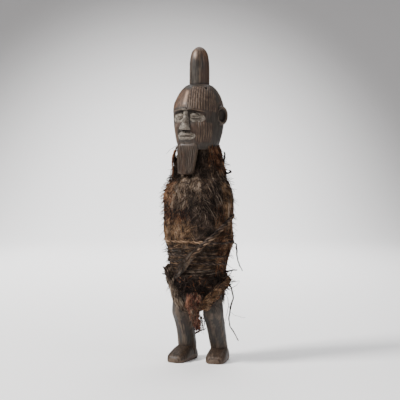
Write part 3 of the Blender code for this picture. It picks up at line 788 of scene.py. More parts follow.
ash = sum_of(
    tree, "MULTIPLY", sum_of(tree, "MULTIPLY", legs, low_down), span(tree, cloud, 0.40, 0.66, 0.25, 0.8)
)
colour = mixed(tree, ash, colour, (0.029, 0.025, 0.022))
leg_soot = sum_of(tree, "MULTIPLY", sum_of(tree, "MULTIPLY", legs, low_down), 0.22)
colour = mixed(tree, leg_soot, colour, (0.010, 0.008, 0.007))
earth = sum_of(tree, "MULTIPLY", span(tree, height, 0.034, 0.022), 0.75)
colour = mixed(
    tree,
    earth,
    colour,
    mixed(tree, span(tree, streak, 0.4, 0.65), (0.015, 0.009, 0.005), (0.046, 0.027, 0.016)),
)
ridge_tone = mixed(tree, span(tree, streak, 0.4, 0.62), (0.045, 0.024, 0.015), (0.135, 0.088, 0.058))
colour = mixed(tree, sum_of(tree, "MULTIPLY", mask_of(tree, "striated"), 0.72), colour, ridge_tone)
rub_tone = mixed(tree, span(tree, streak, 0.38, 0.62), (0.060, 0.030, 0.017), (0.155, 0.080, 0.044))
colour = mixed(tree, sum_of(tree, "MULTIPLY", mask_of(tree, "rubbed"), 0.85), colour, rub_tone)
# Painted highlight: the polished patches are painted a light pinkish tan.
colour = mixed(
    tree,
    sum_of(tree, "MULTIPLY", mask_of(tree, "polish_and_painted_highlight"), span(tree, streak, 0.30, 0.5, 0.35, 0.95)),
    colour,
    (0.34, 0.225, 0.16),
)
edge_wear = sum_of(tree, "MULTIPLY", span(tree, relief, 0.25, 0.9), span(tree, cloud, 0.35, 0.6, 0.2, 0.75))
colour = mixed(tree, edge_wear, colour, (0.105, 0.074, 0.052))
chalk = mixed(
    tree, span(tree, mottle(tree, place, 330, 4), 0.35, 0.65), (0.115, 0.098, 0.078), (0.25, 0.222, 0.185)
)
chalk_hold = span(tree, mottle(tree, place, 120, 4, 0.7), 0.36, 0.62, 0.30, 0.92)
colour = mixed(tree, sum_of(tree, "MULTIPLY", mask_of(tree, "kaolin"), chalk_hold), colour, chalk)
# Painted shade: hollows in the carving, narrow and broad, are darkened almost to black.
colour = mixed(tree, span(tree, relief, -0.2, -0.85, 0, 0.80), colour, (0.016, 0.011, 0.008))
colour = mixed(tree, span(tree, relief_wide, -0.25, -1.0, 0, 0.72), colour, (0.014, 0.010, 0.008))
# Painted shade: the grooves, the hole and the cracks are painted near black.
colour = mixed(tree, sum_of(tree, "MULTIPLY", mask_of(tree, "groove"), 0.88), colour, (0.012, 0.008, 0.007))
tree.links.new(colour, shader.inputs["Base Color"])
rough = sum_of(
    tree,
    "SUBTRACT",
    span(tree, cloud, 0.3, 0.7, 0.42, 0.62),
    sum_of(tree, "MULTIPLY", mask_of(tree, "polish_and_painted_highlight"), 0.2),
)
rough = sum_of(tree, "ADD", rough, sum_of(tree, "MULTIPLY", mask_of(tree, "kaolin"), 0.22), clamp=True)
tree.links.new(rough, shader.inputs["Roughness"])
relief_height = sum_of(
    tree, "ADD", sum_of(tree, "MULTIPLY", streak, 0.7), sum_of(tree, "MULTIPLY", pore, 0.3)
)
carved_bump = add_node(
    tree, "ShaderNodeBump", None, {"Strength": 0.55, "Distance": 0.0005, "Height": relief_height}
)
tree.links.new(carved_bump.outputs["Normal"], shader.inputs["Normal"])
shader.inputs["Specular IOR Level"].default_value = 0.24
figure_mesh.materials.clear()
figure_mesh.materials.append(wood)
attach(figure, "root")
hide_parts("carved_figure")

# Matting of palm fibre
# Matted brown palm fibre laid round the body in a thick coat and bound on with the cords, with a roll of
# the same fibre round the neck. Each is a felted bed with loose strands laid over it in tufts.

LINING_GAP = 1.0
MAT_THICKNESS = 6.0
MAT_BOTTOM_Z = 112
MAT_TOP_Z = 296
MAT_LUMP = 0.14
COLLAR_THICKNESS = 13.0
COLLAR_FRONT_THICKNESS = 3.6
COLLAR_FRONT_TURN = math.radians(58)
COLLAR_LOW_Z = 296.3
COLLAR_HIGH_Z = 335.7
WINDING_TOP_Z = 190
MAT_SWELL = [
    (112, 0.50), (120, 0.62), (145, 0.78), (172, 1.12), (198, 1.22), (225, 1.05), (255, 1.05), (276, 1.08),
    (287, 1.05), (292, 0.98), (296, 0.80),
]
COLLAR_SWELL = [(0.0, 0.95), (0.13, 0.97), (0.4, 0.86), (0.7, 0.66), (1.0, 0.45)]


def mat_surface(theta, z, off=0.0):
    """The outer surface of the mat round the body, in units, and off beyond it."""
    swell = ease(MAT_SWELL, z)[..., 0]
    lumps = np.sin(3 * theta + z / 9) + 0.7 * np.sin(5 * theta - z / 13) - 0.8 * np.sin(theta - 0.5)
    thick = LINING_GAP + MAT_THICKNESS * swell * (1 + MAT_LUMP * lumps) + off
    return oval(TRUNK, z, theta, 2.3) + outward(theta) * thick[..., None]


def collar_surface(theta, z, off=0.0):
    """The outer surface of the neck roll, in units, and off beyond it."""
    turn = np.abs((theta + math.pi) % (2 * math.pi) - math.pi)
    ahead = bump(turn / COLLAR_FRONT_TURN)
    wide = COLLAR_FRONT_THICKNESS * ahead + COLLAR_THICKNESS * (1 - ahead)
    share = np.clip((z - COLLAR_LOW_Z) / (COLLAR_HIGH_Z - COLLAR_LOW_Z), 0, 1)
    thick = LINING_GAP + wide * ease(COLLAR_SWELL, share)[..., 0] + off
    return oval(TRUNK, z, theta, 2.3) + outward(theta) * thick[..., None]


def felt(theta, z):
    """The unevenness of the felted fibre, in units: clumps above the waist, windings below it."""
    clumps = 0.55 * np.sin(7 * theta + z / 5.3 + 1.3 * np.sin(z / 17)) + 0.45 * np.sin(11 * theta - z / 7.1)
    ridges = np.sin((z + 2.2 * np.sin(theta * 2 + 1) + 1.2 * np.sin(theta * 5)) / 0.72)
    wound = 1 - smooth_step(z, WINDING_TOP_Z - 5, WINDING_TOP_Z + 8)
    return (1 - wound) * clumps + wound * (0.42 * ridges + 0.6 * clumps)


mat_turns = np.linspace(0, 2 * math.pi, 128, endpoint=False)
mat_theta, mat_z = np.meshgrid(mat_turns, np.linspace(MAT_BOTTOM_Z, MAT_TOP_Z, 128))
mat_edge = smooth_step(mat_z, 112, 118) * (1 - smooth_step(mat_z, 290, 296))
mat_outer = mat_surface(mat_theta, mat_z, mat_edge * felt(mat_theta, mat_z))
lining_theta, lining_z = np.meshgrid(mat_turns, np.linspace(MAT_TOP_Z, MAT_BOTTOM_Z, 14))
mat_inner = oval(TRUNK, lining_z, lining_theta, 2.3) + outward(lining_theta) * LINING_GAP
mat_bed = skin("felted_wrapping", np.concatenate([mat_outer, mat_inner]), joined=True)

roll_theta, roll_z = np.meshgrid(mat_turns, np.linspace(COLLAR_LOW_Z, COLLAR_HIGH_Z, 40))
roll_outer = collar_surface(
    roll_theta, roll_z, 0.8 * felt(roll_theta, roll_z + 200) * smooth_step(roll_z, 297, 301)
)
roll_lining_theta, roll_lining_z = np.meshgrid(mat_turns, np.linspace(COLLAR_HIGH_Z, COLLAR_LOW_Z, 8))
roll_inner = oval(TRUNK, roll_lining_z, roll_lining_theta, 2.3) + outward(roll_lining_theta) * LINING_GAP
collar_bed = skin("felted_neck_roll", np.concatenate([roll_outer, roll_inner]), joined=True)

# The skin that loose strands lie on: the mat and the neck roll as one sloping shoulder
drape_levels = np.concatenate([np.linspace(82, 286, 100), np.linspace(288, 344, 36)])
drape_theta, drape_z = np.meshgrid(np.linspace(0, 2 * math.pi, 120, endpoint=False), drape_levels)
over_mat = mat_surface(drape_theta, np.clip(drape_z, MAT_BOTTOM_Z, MAT_TOP_Z), 0)
over_roll = collar_surface(drape_theta, np.clip(drape_z, COLLAR_LOW_Z, COLLAR_HIGH_Z), 0)
onto_roll = smooth_step(drape_z, 287, 299)[..., None]
drape_points = over_mat * (1 - onto_roll) + over_roll * onto_roll
drape_points[..., 2] = drape_z
drape = skin("drape", drape_points)


fibre_group, fibre_in, fibre_out = group_tree(
    "fibre_tone",
    "ShaderNodeTree",
    [
        ("Dark", "Color", (0.02, 0.012, 0.008, 1)),
        ("Middle", "Color", (0.07, 0.04, 0.02, 1)),
        ("Light", "Color", (0.2, 0.13, 0.07, 1)),
        ("Place", "Vector", None),
        ("Shade", "Float", 0.5),
    ],
    [("Colour", "Color", None)],
)
fibre_cloud = mottle(fibre_group, fibre_in.outputs["Place"], 85, 3, 0.6)
fibre_shade = sum_of(
    fibre_group,
    "ADD",
    sum_of(fibre_group, "MULTIPLY", fibre_in.outputs["Shade"], 0.7),
    span(fibre_group, fibre_cloud, 0.3, 0.7, -0.2, 0.5),
    clamp=True,
)
fibre_colour = mixed(
    fibre_group,
    span(fibre_group, fibre_shade, 0.08, 0.5),
    fibre_in.outputs["Dark"],
    fibre_in.outputs["Middle"],
)
fibre_colour = mixed(
    fibre_group, span(fibre_group, fibre_shade, 0.58, 0.98), fibre_colour, fibre_in.outputs["Light"]
)
fibre_group.links.new(fibre_colour, fibre_out.inputs["Colour"])


def fibre_finish(name, dark, middle, light, roughness=0.75):
    """A dry fibre in three tones: each strand has its own shade, and patches of them drift together."""
    made = bpy.data.materials.new(name)
    made.use_nodes = True
    tree = made.node_tree
    shader = tree.nodes["Principled BSDF"]
    place = add_node(tree, "ShaderNodeTexCoord").outputs["Object"]
    tone = add_node(
        tree,
        "ShaderNodeGroup",
        {"node_tree": fibre_group},
        {
            "Dark": (*dark, 1),
            "Middle": (*middle, 1),
            "Light": (*light, 1),
            "Place": place,
            "Shade": mask_of(tree, "shade"),
        },
    )
    tree.links.new(tone.outputs["Colour"], shader.inputs["Base Color"])
    fuzz = add_node(
        tree,
        "ShaderNodeBump",
        None,
        {"Strength": 0.5, "Distance": 0.0003, "Height": mottle(tree, place, 1500, 2)}
    )
    tree.links.new(fuzz.outputs["Normal"], shader.inputs["Normal"])
    shader.inputs["Roughness"].default_value = roughness
    shader.inputs["Specular IOR Level"].default_value = 0.07
    return made


bark_fibre = fibre_finish("dark_fibre", (0.010, 0.008, 0.007), (0.032, 0.023, 0.018), (0.095, 0.068, 0.053))
brown_fibre = fibre_finish("brown_fibre", (0.016, 0.010, 0.006), (0.066, 0.041, 0.027), (0.180, 0.121, 0.080))
pale_fibre = fibre_finish("pale_fibre", (0.034, 0.025, 0.019), (0.125, 0.093, 0.070), (0.32, 0.248, 0.188))
rust_fibre = fibre_finish("rust_fibre", (0.028, 0.010, 0.006), (0.120, 0.052, 0.027), (0.28, 0.142, 0.078))
ochre_fibre = fibre_finish("ochre_fibre", (0.036, 0.020, 0.011), (0.140, 0.081, 0.044), (0.34, 0.218, 0.130))
grey_fibre = fibre_finish("grey_fibre", (0.012, 0.010, 0.009), (0.045, 0.040, 0.035), (0.120, 0.108, 0.095))
cord_fibre = fibre_finish("cord_fibre", (0.030, 0.016, 0.009), (0.108, 0.066, 0.040), (0.265, 0.172, 0.107))
rootlet = fibre_finish(
    "dry_rootlet", (0.006, 0.004, 0.004), (0.016, 0.011, 0.009), (0.046, 0.031, 0.023), 0.65
)

felt_paint = bpy.data.materials.new("matted_palm_fibre")
felt_paint.use_nodes = True
tree = felt_paint.node_tree
shader = tree.nodes["Principled BSDF"]
place = add_node(tree, "ShaderNodeTexCoord").outputs["Object"]
height = add_node(tree, "ShaderNodeSeparateXYZ", None, {"Vector": place}).outputs["Z"]
upright = mottle(tree, stretched(tree, place, (1, 1, 0.12)), 700, 4, 0.65)
wound = mottle(tree, stretched(tree, place, (0.12, 0.12, 1)), 700, 4, 0.65)
strands = add_node(tree, "ShaderNodeMix", {"data_type": "FLOAT"})
tree.links.new(span(tree, height, 0.185, 0.200), strands.inputs[0])
tree.links.new(wound, strands.inputs[2])
tree.links.new(upright, strands.inputs[3])
strand_tone = strands.outputs[0]
tone = add_node(
    tree,
    "ShaderNodeGroup",
    {"node_tree": fibre_group},
    {
        "Dark": (0.007, 0.005, 0.004, 1),
        "Middle": (0.026, 0.017, 0.012, 1),
        "Light": (0.080, 0.050, 0.030, 1),
        "Place": place,
        "Shade": strand_tone,
    },
)
tree.links.new(tone.outputs["Colour"], shader.inputs["Base Color"])
felt_bump = add_node(
    tree, "ShaderNodeBump", None, {"Strength": 0.9, "Distance": 0.0012, "Height": strand_tone}
)
tree.links.new(felt_bump.outputs["Normal"], shader.inputs["Normal"])
shader.inputs["Roughness"].default_value = 0.9
shader.inputs["Specular IOR Level"].default_value = 0.15
for bed, node in ((mat_bed, "fibre_wrapping"), (collar_bed, "neck_wrapping")):
    bed.data.materials.append(felt_paint)
    bed.data.shade_smooth()
    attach(bed, "root")
    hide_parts(node)

# The tree that lays strands: it scatters roots over a patch, runs a thin line from each along the patch's
# grain, lets it wander, lays it on the surface below and gives it a tapering thickness.
laying, laying_in, laying_out = group_tree(
    "laid_strands",
    "GeometryNodeTree",
    [
        ("Patch", "Geometry", None),
        ("Surface", "Object", None),
        ("Density", "Float", 1000.0),
        ("Seed", "Int", 1),
        ("Shortest", "Float", 0.02),
        ("Longest", "Float", 0.03),
        ("Thickness", "Float", 0.0003),
        ("Spread", "Float", 0.2),
        ("Wander", "Float", 0.002),
        ("Curl", "Float", 60.0),
        ("Lift", "Float", 0.0006),
        ("Stand", "Float", 0.0),
        ("Points", "Int", 8),
        ("Finish", "Material", None),
    ],
    [("Strands", "Geometry", None)],
)


def laid(kind, settings=None, inputs=None):
    return add_node(laying, kind, settings, inputs)


def chance(low, high, seed):
    """A random number for each strand, from low to high."""
    made = laid("FunctionNodeRandomValue", {"data_type": "FLOAT"})
    for index, value in ((2, low), (3, high)):
        if isinstance(value, bpy.types.NodeSocket):
            laying.links.new(value, made.inputs[index])
        else:
            made.inputs[index].default_value = value
    laying.links.new(sum_of(laying, "ADD", laying_in.outputs["Seed"], float(seed)), made.inputs[8])
    return made.outputs[1]


def named(tree, label, kind="FLOAT"):
    return add_node(
        tree, "GeometryNodeInputNamedAttribute", {"data_type": kind}, {"Name": label}
    ).outputs["Attribute"]


def kept(tree, geometry, label, value, kind="FLOAT"):
    made = add_node(
        tree,
        "GeometryNodeStoreNamedAttribute",
        {"data_type": kind, "domain": "POINT"},
        {"Geometry": geometry, "Name": label},
    )
    tree.links.new(value, made.inputs["Value"])
    return made.outputs["Geometry"]


roots = laid(
    "GeometryNodeDistributePointsOnFaces",
    {"distribute_method": "RANDOM"},
    {
        "Mesh": laying_in.outputs["Patch"],
        "Density": laying_in.outputs["Density"],
        "Seed": laying_in.outputs["Seed"],
    },
)
rooted = kept(laying, roots.outputs["Points"], "shade", chance(0.0, 1.0, 11))
rooted = kept(laying, rooted, "own_number", chance(0.0, 100.0, 12))
facing = laid(
    "FunctionNodeAxesToRotation",
    {"primary_axis": "Z", "secondary_axis": "X"},
    {"Primary Axis": roots.outputs["Normal"], "Secondary Axis": named(laying, "grain", "FLOAT_VECTOR")},
)
spin = laid("ShaderNodeCombineXYZ")
half_spread = sum_of(laying, "MULTIPLY", laying_in.outputs["Spread"], -1.0)
laying.links.new(chance(half_spread, laying_in.outputs["Spread"], 13), spin.inputs["Z"])
turned = laid(
    "FunctionNodeRotateRotation",
    {"rotation_space": "LOCAL"},
    {
        "Rotation": facing.outputs[0],
        "Rotate By": laid("FunctionNodeEulerToRotation", None, {"Euler": spin.outputs[0]}).outputs[0],
    },
)
line = laid("GeometryNodeCurvePrimitiveLine", {"mode": "POINTS"}, {"Start": (0, 0, 0), "End": (1, 0, 0)})
cut_line = laid(
    "GeometryNodeResampleCurve",
    {"mode": "COUNT"},
    {"Curve": line.outputs[0], "Count": laying_in.outputs["Points"]}
)
strand_size = laid("ShaderNodeCombineXYZ", None, {"Y": 1.0, "Z": 1.0})
laying.links.new(
    chance(laying_in.outputs["Shortest"], laying_in.outputs["Longest"], 14), strand_size.inputs["X"]
)
sown = laid(
    "GeometryNodeInstanceOnPoints",
    None,
    {
        "Points": rooted,
        "Instance": cut_line.outputs[0],
        "Rotation": turned.outputs[0],
        "Scale": strand_size.outputs[0],
    },
)
loose = laid("GeometryNodeRealizeInstances", None, {"Geometry": sown.outputs[0]}).outputs[0]
along = laid("GeometryNodeSplineParameter").outputs["Factor"]
where = laid("GeometryNodeInputPosition").outputs[0]
sway = laid(
    "ShaderNodeTexNoise",
    {"noise_dimensions": "4D"},
    {
        "Vector": where,
        "W": named(laying, "own_number"),
        "Scale": laying_in.outputs["Curl"],
        "Detail": 2.0,
        "Roughness": 0.6,
    },
)
centred = laid("ShaderNodeVectorMath", {"operation": "SUBTRACT"}, {0: sway.outputs[1], 1: (0.5, 0.5, 0.5)})
swing = laid(
    "ShaderNodeVectorMath",
    {"operation": "SCALE"},
    {"Vector": centred.outputs[0], "Scale": sum_of(laying, "MULTIPLY", laying_in.outputs["Wander"], 4.0)},
)
swayed = laid("GeometryNodeSetPosition", None, {"Geometry": loose, "Offset": swing.outputs[0]}).outputs[0]
surface = laid(
    "GeometryNodeObjectInfo", {"transform_space": "ORIGINAL"}, {"Object": laying_in.outputs["Surface"]}
).outputs["Geometry"]
nearest = laid(
    "GeometryNodeProximity", {"target_element": "FACES"}, {"Geometry": surface, "Sample Position": where}
)
up = laid(
    "GeometryNodeSampleNearestSurface",
    {"data_type": "FLOAT_VECTOR"},
    {"Mesh": surface, "Sample Position": where},
)
laying.links.new(laid("GeometryNodeInputNormal").outputs[0], up.inputs["Value"])
rise = sum_of(laying, "MULTIPLY", sum_of(laying, "MULTIPLY", along, along), laying_in.outputs["Stand"])
rise = sum_of(laying, "MULTIPLY", rise, sum_of(laying, "ADD", named(laying, "shade"), 0.4))
bedding = sum_of(
    laying, "MULTIPLY", laying_in.outputs["Lift"], span(laying, sway.outputs[0], 0.25, 0.75, 0.1, 2.0)
)
lifted = laid(
    "ShaderNodeVectorMath",
    {"operation": "SCALE"},
    {"Vector": up.outputs["Value"], "Scale": sum_of(laying, "ADD", bedding, rise)}
)
bedded = laid(
    "ShaderNodeVectorMath", {"operation": "ADD"}, {0: nearest.outputs["Position"], 1: lifted.outputs[0]}
)
pressed = laid(
    "GeometryNodeSetPosition", None, {"Geometry": swayed, "Position": bedded.outputs[0]}
).outputs[0]
taper = span(laying, along, 0.35, 1.0, 1.0, 0.35)
girth = sum_of(
    laying,
    "MULTIPLY",
    sum_of(laying, "MULTIPLY", laying_in.outputs["Thickness"], taper),
    chance(0.55, 1.35, 15),
)
round_strand = laid("GeometryNodeCurvePrimitiveCircle", {"mode": "RADIUS"}, {"Resolution": 3, "Radius": 1.0})
grown = kept(laying, pressed, "girth", girth)
solid = laid(
    "GeometryNodeCurveToMesh",
    None,
    {
        "Curve": grown,
        "Profile Curve": round_strand.outputs[0],
        "Scale": named(laying, "girth"),
        "Fill Caps": True,
    },
)
smoothed = laid("GeometryNodeSetShadeSmooth", None, {"Geometry": solid.outputs[0]})
coloured = laid(
    "GeometryNodeSetMaterial",
    None,
    {"Geometry": smoothed.outputs[0], "Material": laying_in.outputs["Finish"]}
)
plain = laid("GeometryNodeRealizeInstances", None, {"Geometry": coloured.outputs[0]})
laying.links.new(plain.outputs[0], laying_out.inputs["Strands"])


def work_in(piece, tree, name, values):
    """Runs a tree on a piece and gives back the result as a plain mesh object."""
    sockets = {s.name: s.identifier for s in tree.interface.items_tree if s.in_out == "INPUT"}
    step = piece.modifiers.new(tree.name, "NODES")
    step.node_group = tree
    for label, value in values.items():
        step[sockets[label]] = value
    return settled(piece, name)


def patch(turn_low, turn_high, low, high, lean, surface=mat_surface):
    """A patch of surface with its grain. Turns in degrees; lean is the grain's slant from straight down
    towards the figure's left, in degrees, as a number or a function of the turn and the height."""
    theta, z = np.meshgrid(np.radians(np.linspace(turn_low, turn_high, 24)), np.linspace(low, high, 24))
    at = surface(theta, z) * UNIT + np.array(STAND)
    angle = np.radians(lean(np.degrees(theta), z) if callable(lean) else lean + 0 * theta)[..., None]
    east = np.stack([np.cos(theta), np.sin(theta), 0 * theta], -1)
    grain = east * np.sin(angle) + np.array((0, 0, -1.0)) * np.cos(angle)
    mesh = bpy.data.meshes.new("patch")
    index = np.arange(24 * 24).reshape(24, 24)
    faces = np.stack([index[:-1, :-1], index[:-1, 1:], index[1:, 1:], index[1:, :-1]], -1).reshape(-1, 4)
    mesh.from_pydata(at.reshape(-1, 3).tolist(), [], faces.tolist())
    layer = mesh.attributes.new("grain", "FLOAT_VECTOR", "POINT")
    layer.data.foreach_set("vector", grain.astype(np.float32).ravel())
    made = bpy.data.objects.new("patch", mesh)
    bpy.context.scene.collection.objects.link(made)
    return made, sum(f.area for f in mesh.polygons)


def lay(
    name, bed, count, length, thickness, finish, spread=12, wander=1.0, lift=0.6, stand=0.0, seed=1,
    points=8, curl=60, over=drape,
):
    """Strands laid on a bed: lengths, thickness, wander, lift and stand in units, spread in degrees."""
    base, area = bed
    values = {
        "Surface": over,
        "Density": count / area,
        "Seed": seed,
        "Shortest": length[0] * UNIT,
        "Longest": length[1] * UNIT,
        "Thickness": thickness * UNIT,
        "Spread": math.radians(spread),
        "Wander": wander * UNIT,
        "Curl": float(curl),
        "Lift": lift * UNIT,
        "Stand": stand * UNIT,
        "Points": points,
        "Finish": finish,
    }
    made = work_in(base, laying, name, values)
    discard(base)
    return made


def add_to_root(piece, slot, *nodes):
    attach(piece, "root")
    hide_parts(*nodes)


def fan_from_neck(degrees, z):
    return 0.55 * (degrees + 8)


def drape_surface(theta, z):
    onto = smooth_step(z, 287, 299)[..., None]
    over = mat_surface(theta, np.clip(z, MAT_BOTTOM_Z, MAT_TOP_Z)) * (1 - onto)
    over = over + collar_surface(theta, np.clip(z, COLLAR_LOW_Z, COLLAR_HIGH_Z)) * onto
    over[..., 2] = z
    return over


TUFTS = [
    # name, turns, heights, lean, count, lengths, thickness, finish, spread, wander, lift, curl
    ("back_coat", (95, 305), (198, 300), 12, 780, (22, 40), 0.45, brown_fibre, 30, 1.6, 0.9, 55),
    ("back_coat_dark", (95, 305), (198, 300), -18, 620, (20, 38), 0.46, bark_fibre, 35, 1.6, 1.0, 55),
    ("back_coat_rust", (95, 305), (205, 296), 6, 160, (18, 34), 0.40, rust_fibre, 50, 1.8, 1.6, 70),
    ("chest_upright", (-44, 6), (240, 276), -4, 560, (20, 34), 0.38, brown_fibre, 10, 0.8, 0.9, 50),
    ("chest_upright_pale", (-40, 0), (250, 276), -4, 130, (18, 30), 0.34, pale_fibre, 10, 0.8, 1.3, 50),
    ("under_beard", (-46, 26), (276, 299), fan_from_neck, 740, (16, 30), 0.36, pale_fibre, 14, 0.9, 1.1, 60),
    (
        "under_beard_brown", (-50, 40), (268, 298), fan_from_neck, 540, (16, 30), 0.38, brown_fibre, 22,
        1.1, 1.2, 60,
    ),
    ("shoulder_rust", (-78, -28), (262, 286), -10, 330, (9, 18), 0.36, rust_fibre, 70, 2.4, 1.3, 120),
    ("shoulder_ochre", (-70, -26), (262, 284), -10, 110, (9, 18), 0.38, ochre_fibre, 70, 2.4, 1.9, 120),
    ("side_dark", (-82, -34), (206, 262), 6, 560, (14, 30), 0.42, bark_fibre, 30, 1.6, 1.2, 70),
    ("breast_tangle", (0, 38), (232, 278), 20, 480, (14, 30), 0.44, bark_fibre, 75, 2.6, 1.2, 90),
    ("tangle_light", (-2, 40), (238, 284), 12, 60, (14, 30), 0.30, pale_fibre, 55, 2.4, 2.6, 60),
    ("left_chest_grey", (26, 64), (228, 290), 10, 440, (20, 34), 0.44, bark_fibre, 16, 1.0, 1.1, 50),
    ("left_chest_black", (28, 62), (228, 286), 12, 160, (20, 34), 0.46, rootlet, 22, 1.4, 1.5, 60),
    ("left_shoulder", (56, 128), (236, 300), 14, 560, (22, 38), 0.40, brown_fibre, 18, 1.2, 1.3, 50),
    ("left_shoulder_dark", (50, 128), (232, 298), 18, 520, (20, 36), 0.46, bark_fibre, 22, 1.4, 1.5, 60),
    ("left_shoulder_ochre", (66, 88), (248, 284), 12, 260, (18, 30), 0.42, ochre_fibre, 10, 0.8, 2.4, 40),
    ("right_flank_brown", (48, 112), (196, 246), 30, 260, (16, 32), 0.46, brown_fibre, 40, 1.8, 1.8, 60),
    ("right_flank_rust", (52, 116), (192, 250), 40, 190, (10, 24), 0.42, rust_fibre, 80, 2.8, 2.2, 110),
    ("right_flank_ochre", (56, 100), (200, 246), 30, 90, (12, 26), 0.42, ochre_fibre, 60, 2.2, 2.2, 90),
    # Near-black strands laid where shadow falls at the right side and in a band under the chest: painted
    # shade.
    ("side_gap_dark", (-88, -46), (226, 262), 0, 260, (10, 24), 0.50, rootlet, 50, 2.4, 2.0, 90),
    ("waist_gap_dark", (-60, 30), (234, 246), -40, 200, (12, 26), 0.46, rootlet, 30, 2.0, 1.8, 70),
    ("left_shoulder_long", (44, 92), (262, 304), 22, 60, (34, 60), 0.40, pale_fibre, 26, 2.2, 2.8, 36),
    ("ochre_bundle", (-62, 8), (204, 228), 14, 560, (12, 24), 0.42, ochre_fibre, 24, 1.4, 1.8, 70),
    ("ochre_bundle_pale", (-46, -4), (206, 224), 20, 210, (12, 22), 0.38, pale_fibre, 28, 1.4, 1.5, 70),
    ("bundle_rust", (-62, 10), (226, 244), 8, 230, (10, 20), 0.38, rust_fibre, 50, 2.0, 1.5, 100),
    ("waist_slant", (-20, 40), (202, 226), -64, 16, (24, 46), 0.34, ochre_fibre, 8, 1.4, 2.2, 40),
    ("waist_slant_dark", (-30, 60), (198, 236), -60, 120, (20, 42), 0.40, bark_fibre, 16, 1.4, 1.8, 40),
    ("midriff", (-20, 124), (198, 244), 28, 380, (18, 34), 0.42, brown_fibre, 38, 1.6, 1.0, 60),
    ("midriff_dark", (6, 130), (196, 244), 40, 500, (18, 34), 0.46, bark_fibre, 40, 1.6, 1.2, 60),
    ("midriff_black", (4, 110), (196, 244), 44, 150, (16, 30), 0.46, rootlet, 40, 1.8, 1.5, 60),
    ("hip_tangle_rust", (58, 132), (148, 200), 70, 210, (10, 24), 0.50, rust_fibre, 90, 3.0, 1.8, 110),
    ("hip_tangle_ochre", (58, 132), (150, 200), 70, 140, (10, 26), 0.46, ochre_fibre, 90, 3.0, 1.8, 110),
    ("hip_tangle_dark", (60, 136), (140, 205), 70, 200, (12, 28), 0.44, bark_fibre, 90, 3.0, 2.0, 100),
    ("hem_fringe", (110, 300), (108, 122), 0, 250, (14, 30), 0.50, bark_fibre, 26, 2.2, 1.2, 70),
    ("hem_fringe_front", (-60, 20), (112, 124), 0, 80, (7, 15), 0.50, bark_fibre, 26, 2.2, 1.2, 70),
    # Fringe strands hanging across the front below the mat, made black as painted shade under its lower edge.
    ("hem_fringe_black", (-60, 70), (112, 140), 0, 260, (10, 20), 0.66, rootlet, 40, 3.0, 2.2, 90),
    ("hem_fringe_brown", (110, 300), (108, 124), 0, 40, (12, 24), 0.42, brown_fibre, 30, 2.2, 1.6, 80),
    ("loin_curls", (-44, 60), (112, 138), 40, 110, (10, 22), 0.70, rootlet, 120, 5.0, 3.6, 110),
    ("loin_curls_brown", (-44, 60), (112, 138), 40, 40, (10, 20), 0.62, bark_fibre, 120, 5.0, 3.6, 110),
    ("loin_curls_rust", (-30, 60), (114, 138), 40, 16, (10, 20), 0.50, rust_fibre, 120, 5.0, 3.4, 110),
]
for number, (
    name, turns, heights, lean, count, lengths, thickness, finish, spread, wander, lift, curl
) in enumerate(TUFTS):
    bed = patch(*turns, *heights, lean, drape_surface)
    tuft = lay(name, bed, count, lengths, thickness, finish, spread, wander, lift, 0.0, 20 + number, 6, curl)
    add_to_root(tuft, "matted_palm_fibre", "fibre_wrapping")

WINDINGS = [
    ("windings_dark", (0, 360), (112, 198), 800, (34, 60), 0.52, bark_fibre, 11, 1.4, 1.0),
    ("windings_brown", (0, 360), (150, 198), 280, (30, 60), 0.48, brown_fibre, 12, 1.4, 1.2),
    ("windings_ochre", (-70, 124), (150, 192), 80, (14, 36), 0.44, ochre_fibre, 12, 1.2, 1.6),
    ("windings_strips", (0, 360), (116, 190), 90, (40, 80), 1.15, grey_fibre, 9, 1.6, 1.0),
    ("windings_strips_brown", (0, 360), (152, 192), 34, (34, 70), 1.0, brown_fibre, 10, 1.6, 1.2),
    ("windings_pale", (-50, 110), (132, 148), 12, (34, 64), 0.34, pale_fibre, 4, 0.5, 3.4),
]
for number, (
    name, turns, heights, count, lengths, thickness, finish, spread, wander, lift
) in enumerate(WINDINGS):
    bed = patch(*turns, *heights, 90)
    winding = lay(name, bed, count, lengths, thickness, finish, spread, wander, lift, 0.0, 50 + number, 7, 40)
    add_to_root(winding, "matted_palm_fibre", "fibre_wrapping")

NECK_TUFTS = [
    ("neck_hanging", (32, 328), (300, 345), 0, 780, (18, 40), 0.47, bark_fibre, 18, 2.0, 1.4, 1.0),
    ("neck_hanging_brown", (40, 320), (300, 345), 3, 380, (18, 38), 0.45, brown_fibre, 20, 2.0, 1.8, 1.5),
    ("neck_rust", (52, 84), (324, 344), 6, 60, (16, 34), 0.40, rust_fibre, 14, 1.8, 2.4, 2.0),
    ("neck_rust_behind", (84, 200), (312, 343), 4, 120, (16, 34), 0.40, rust_fibre, 22, 2.0, 2.2, 2.0),
    ("neck_tuft_rust", (-70, -42), (330, 343), -2, 110, (18, 36), 0.40, rust_fibre, 12, 1.8, 1.8, 2.5),
    ("neck_tuft_dark", (-84, -34), (304, 338), -2, 220, (18, 36), 0.62, bark_fibre, 20, 3.4, 2.0, 7.0),
    ("throat_dark", (-38, 38), (298, 330), 0, 240, (12, 24), 0.40, bark_fibre, 25, 1.4, 0.8, 0.0),
]
for number, (
    name, turns, heights, lean, count, lengths, thickness, finish, spread, wander, lift, stand
) in enumerate(NECK_TUFTS):
    bed = patch(*turns, *heights, lean, drape_surface)
    tuft = lay(name, bed, count, lengths, thickness, finish, spread, wander, lift, stand, 70 + number, 6, 70)
    add_to_root(tuft, "matted_palm_fibre", "neck_wrapping")

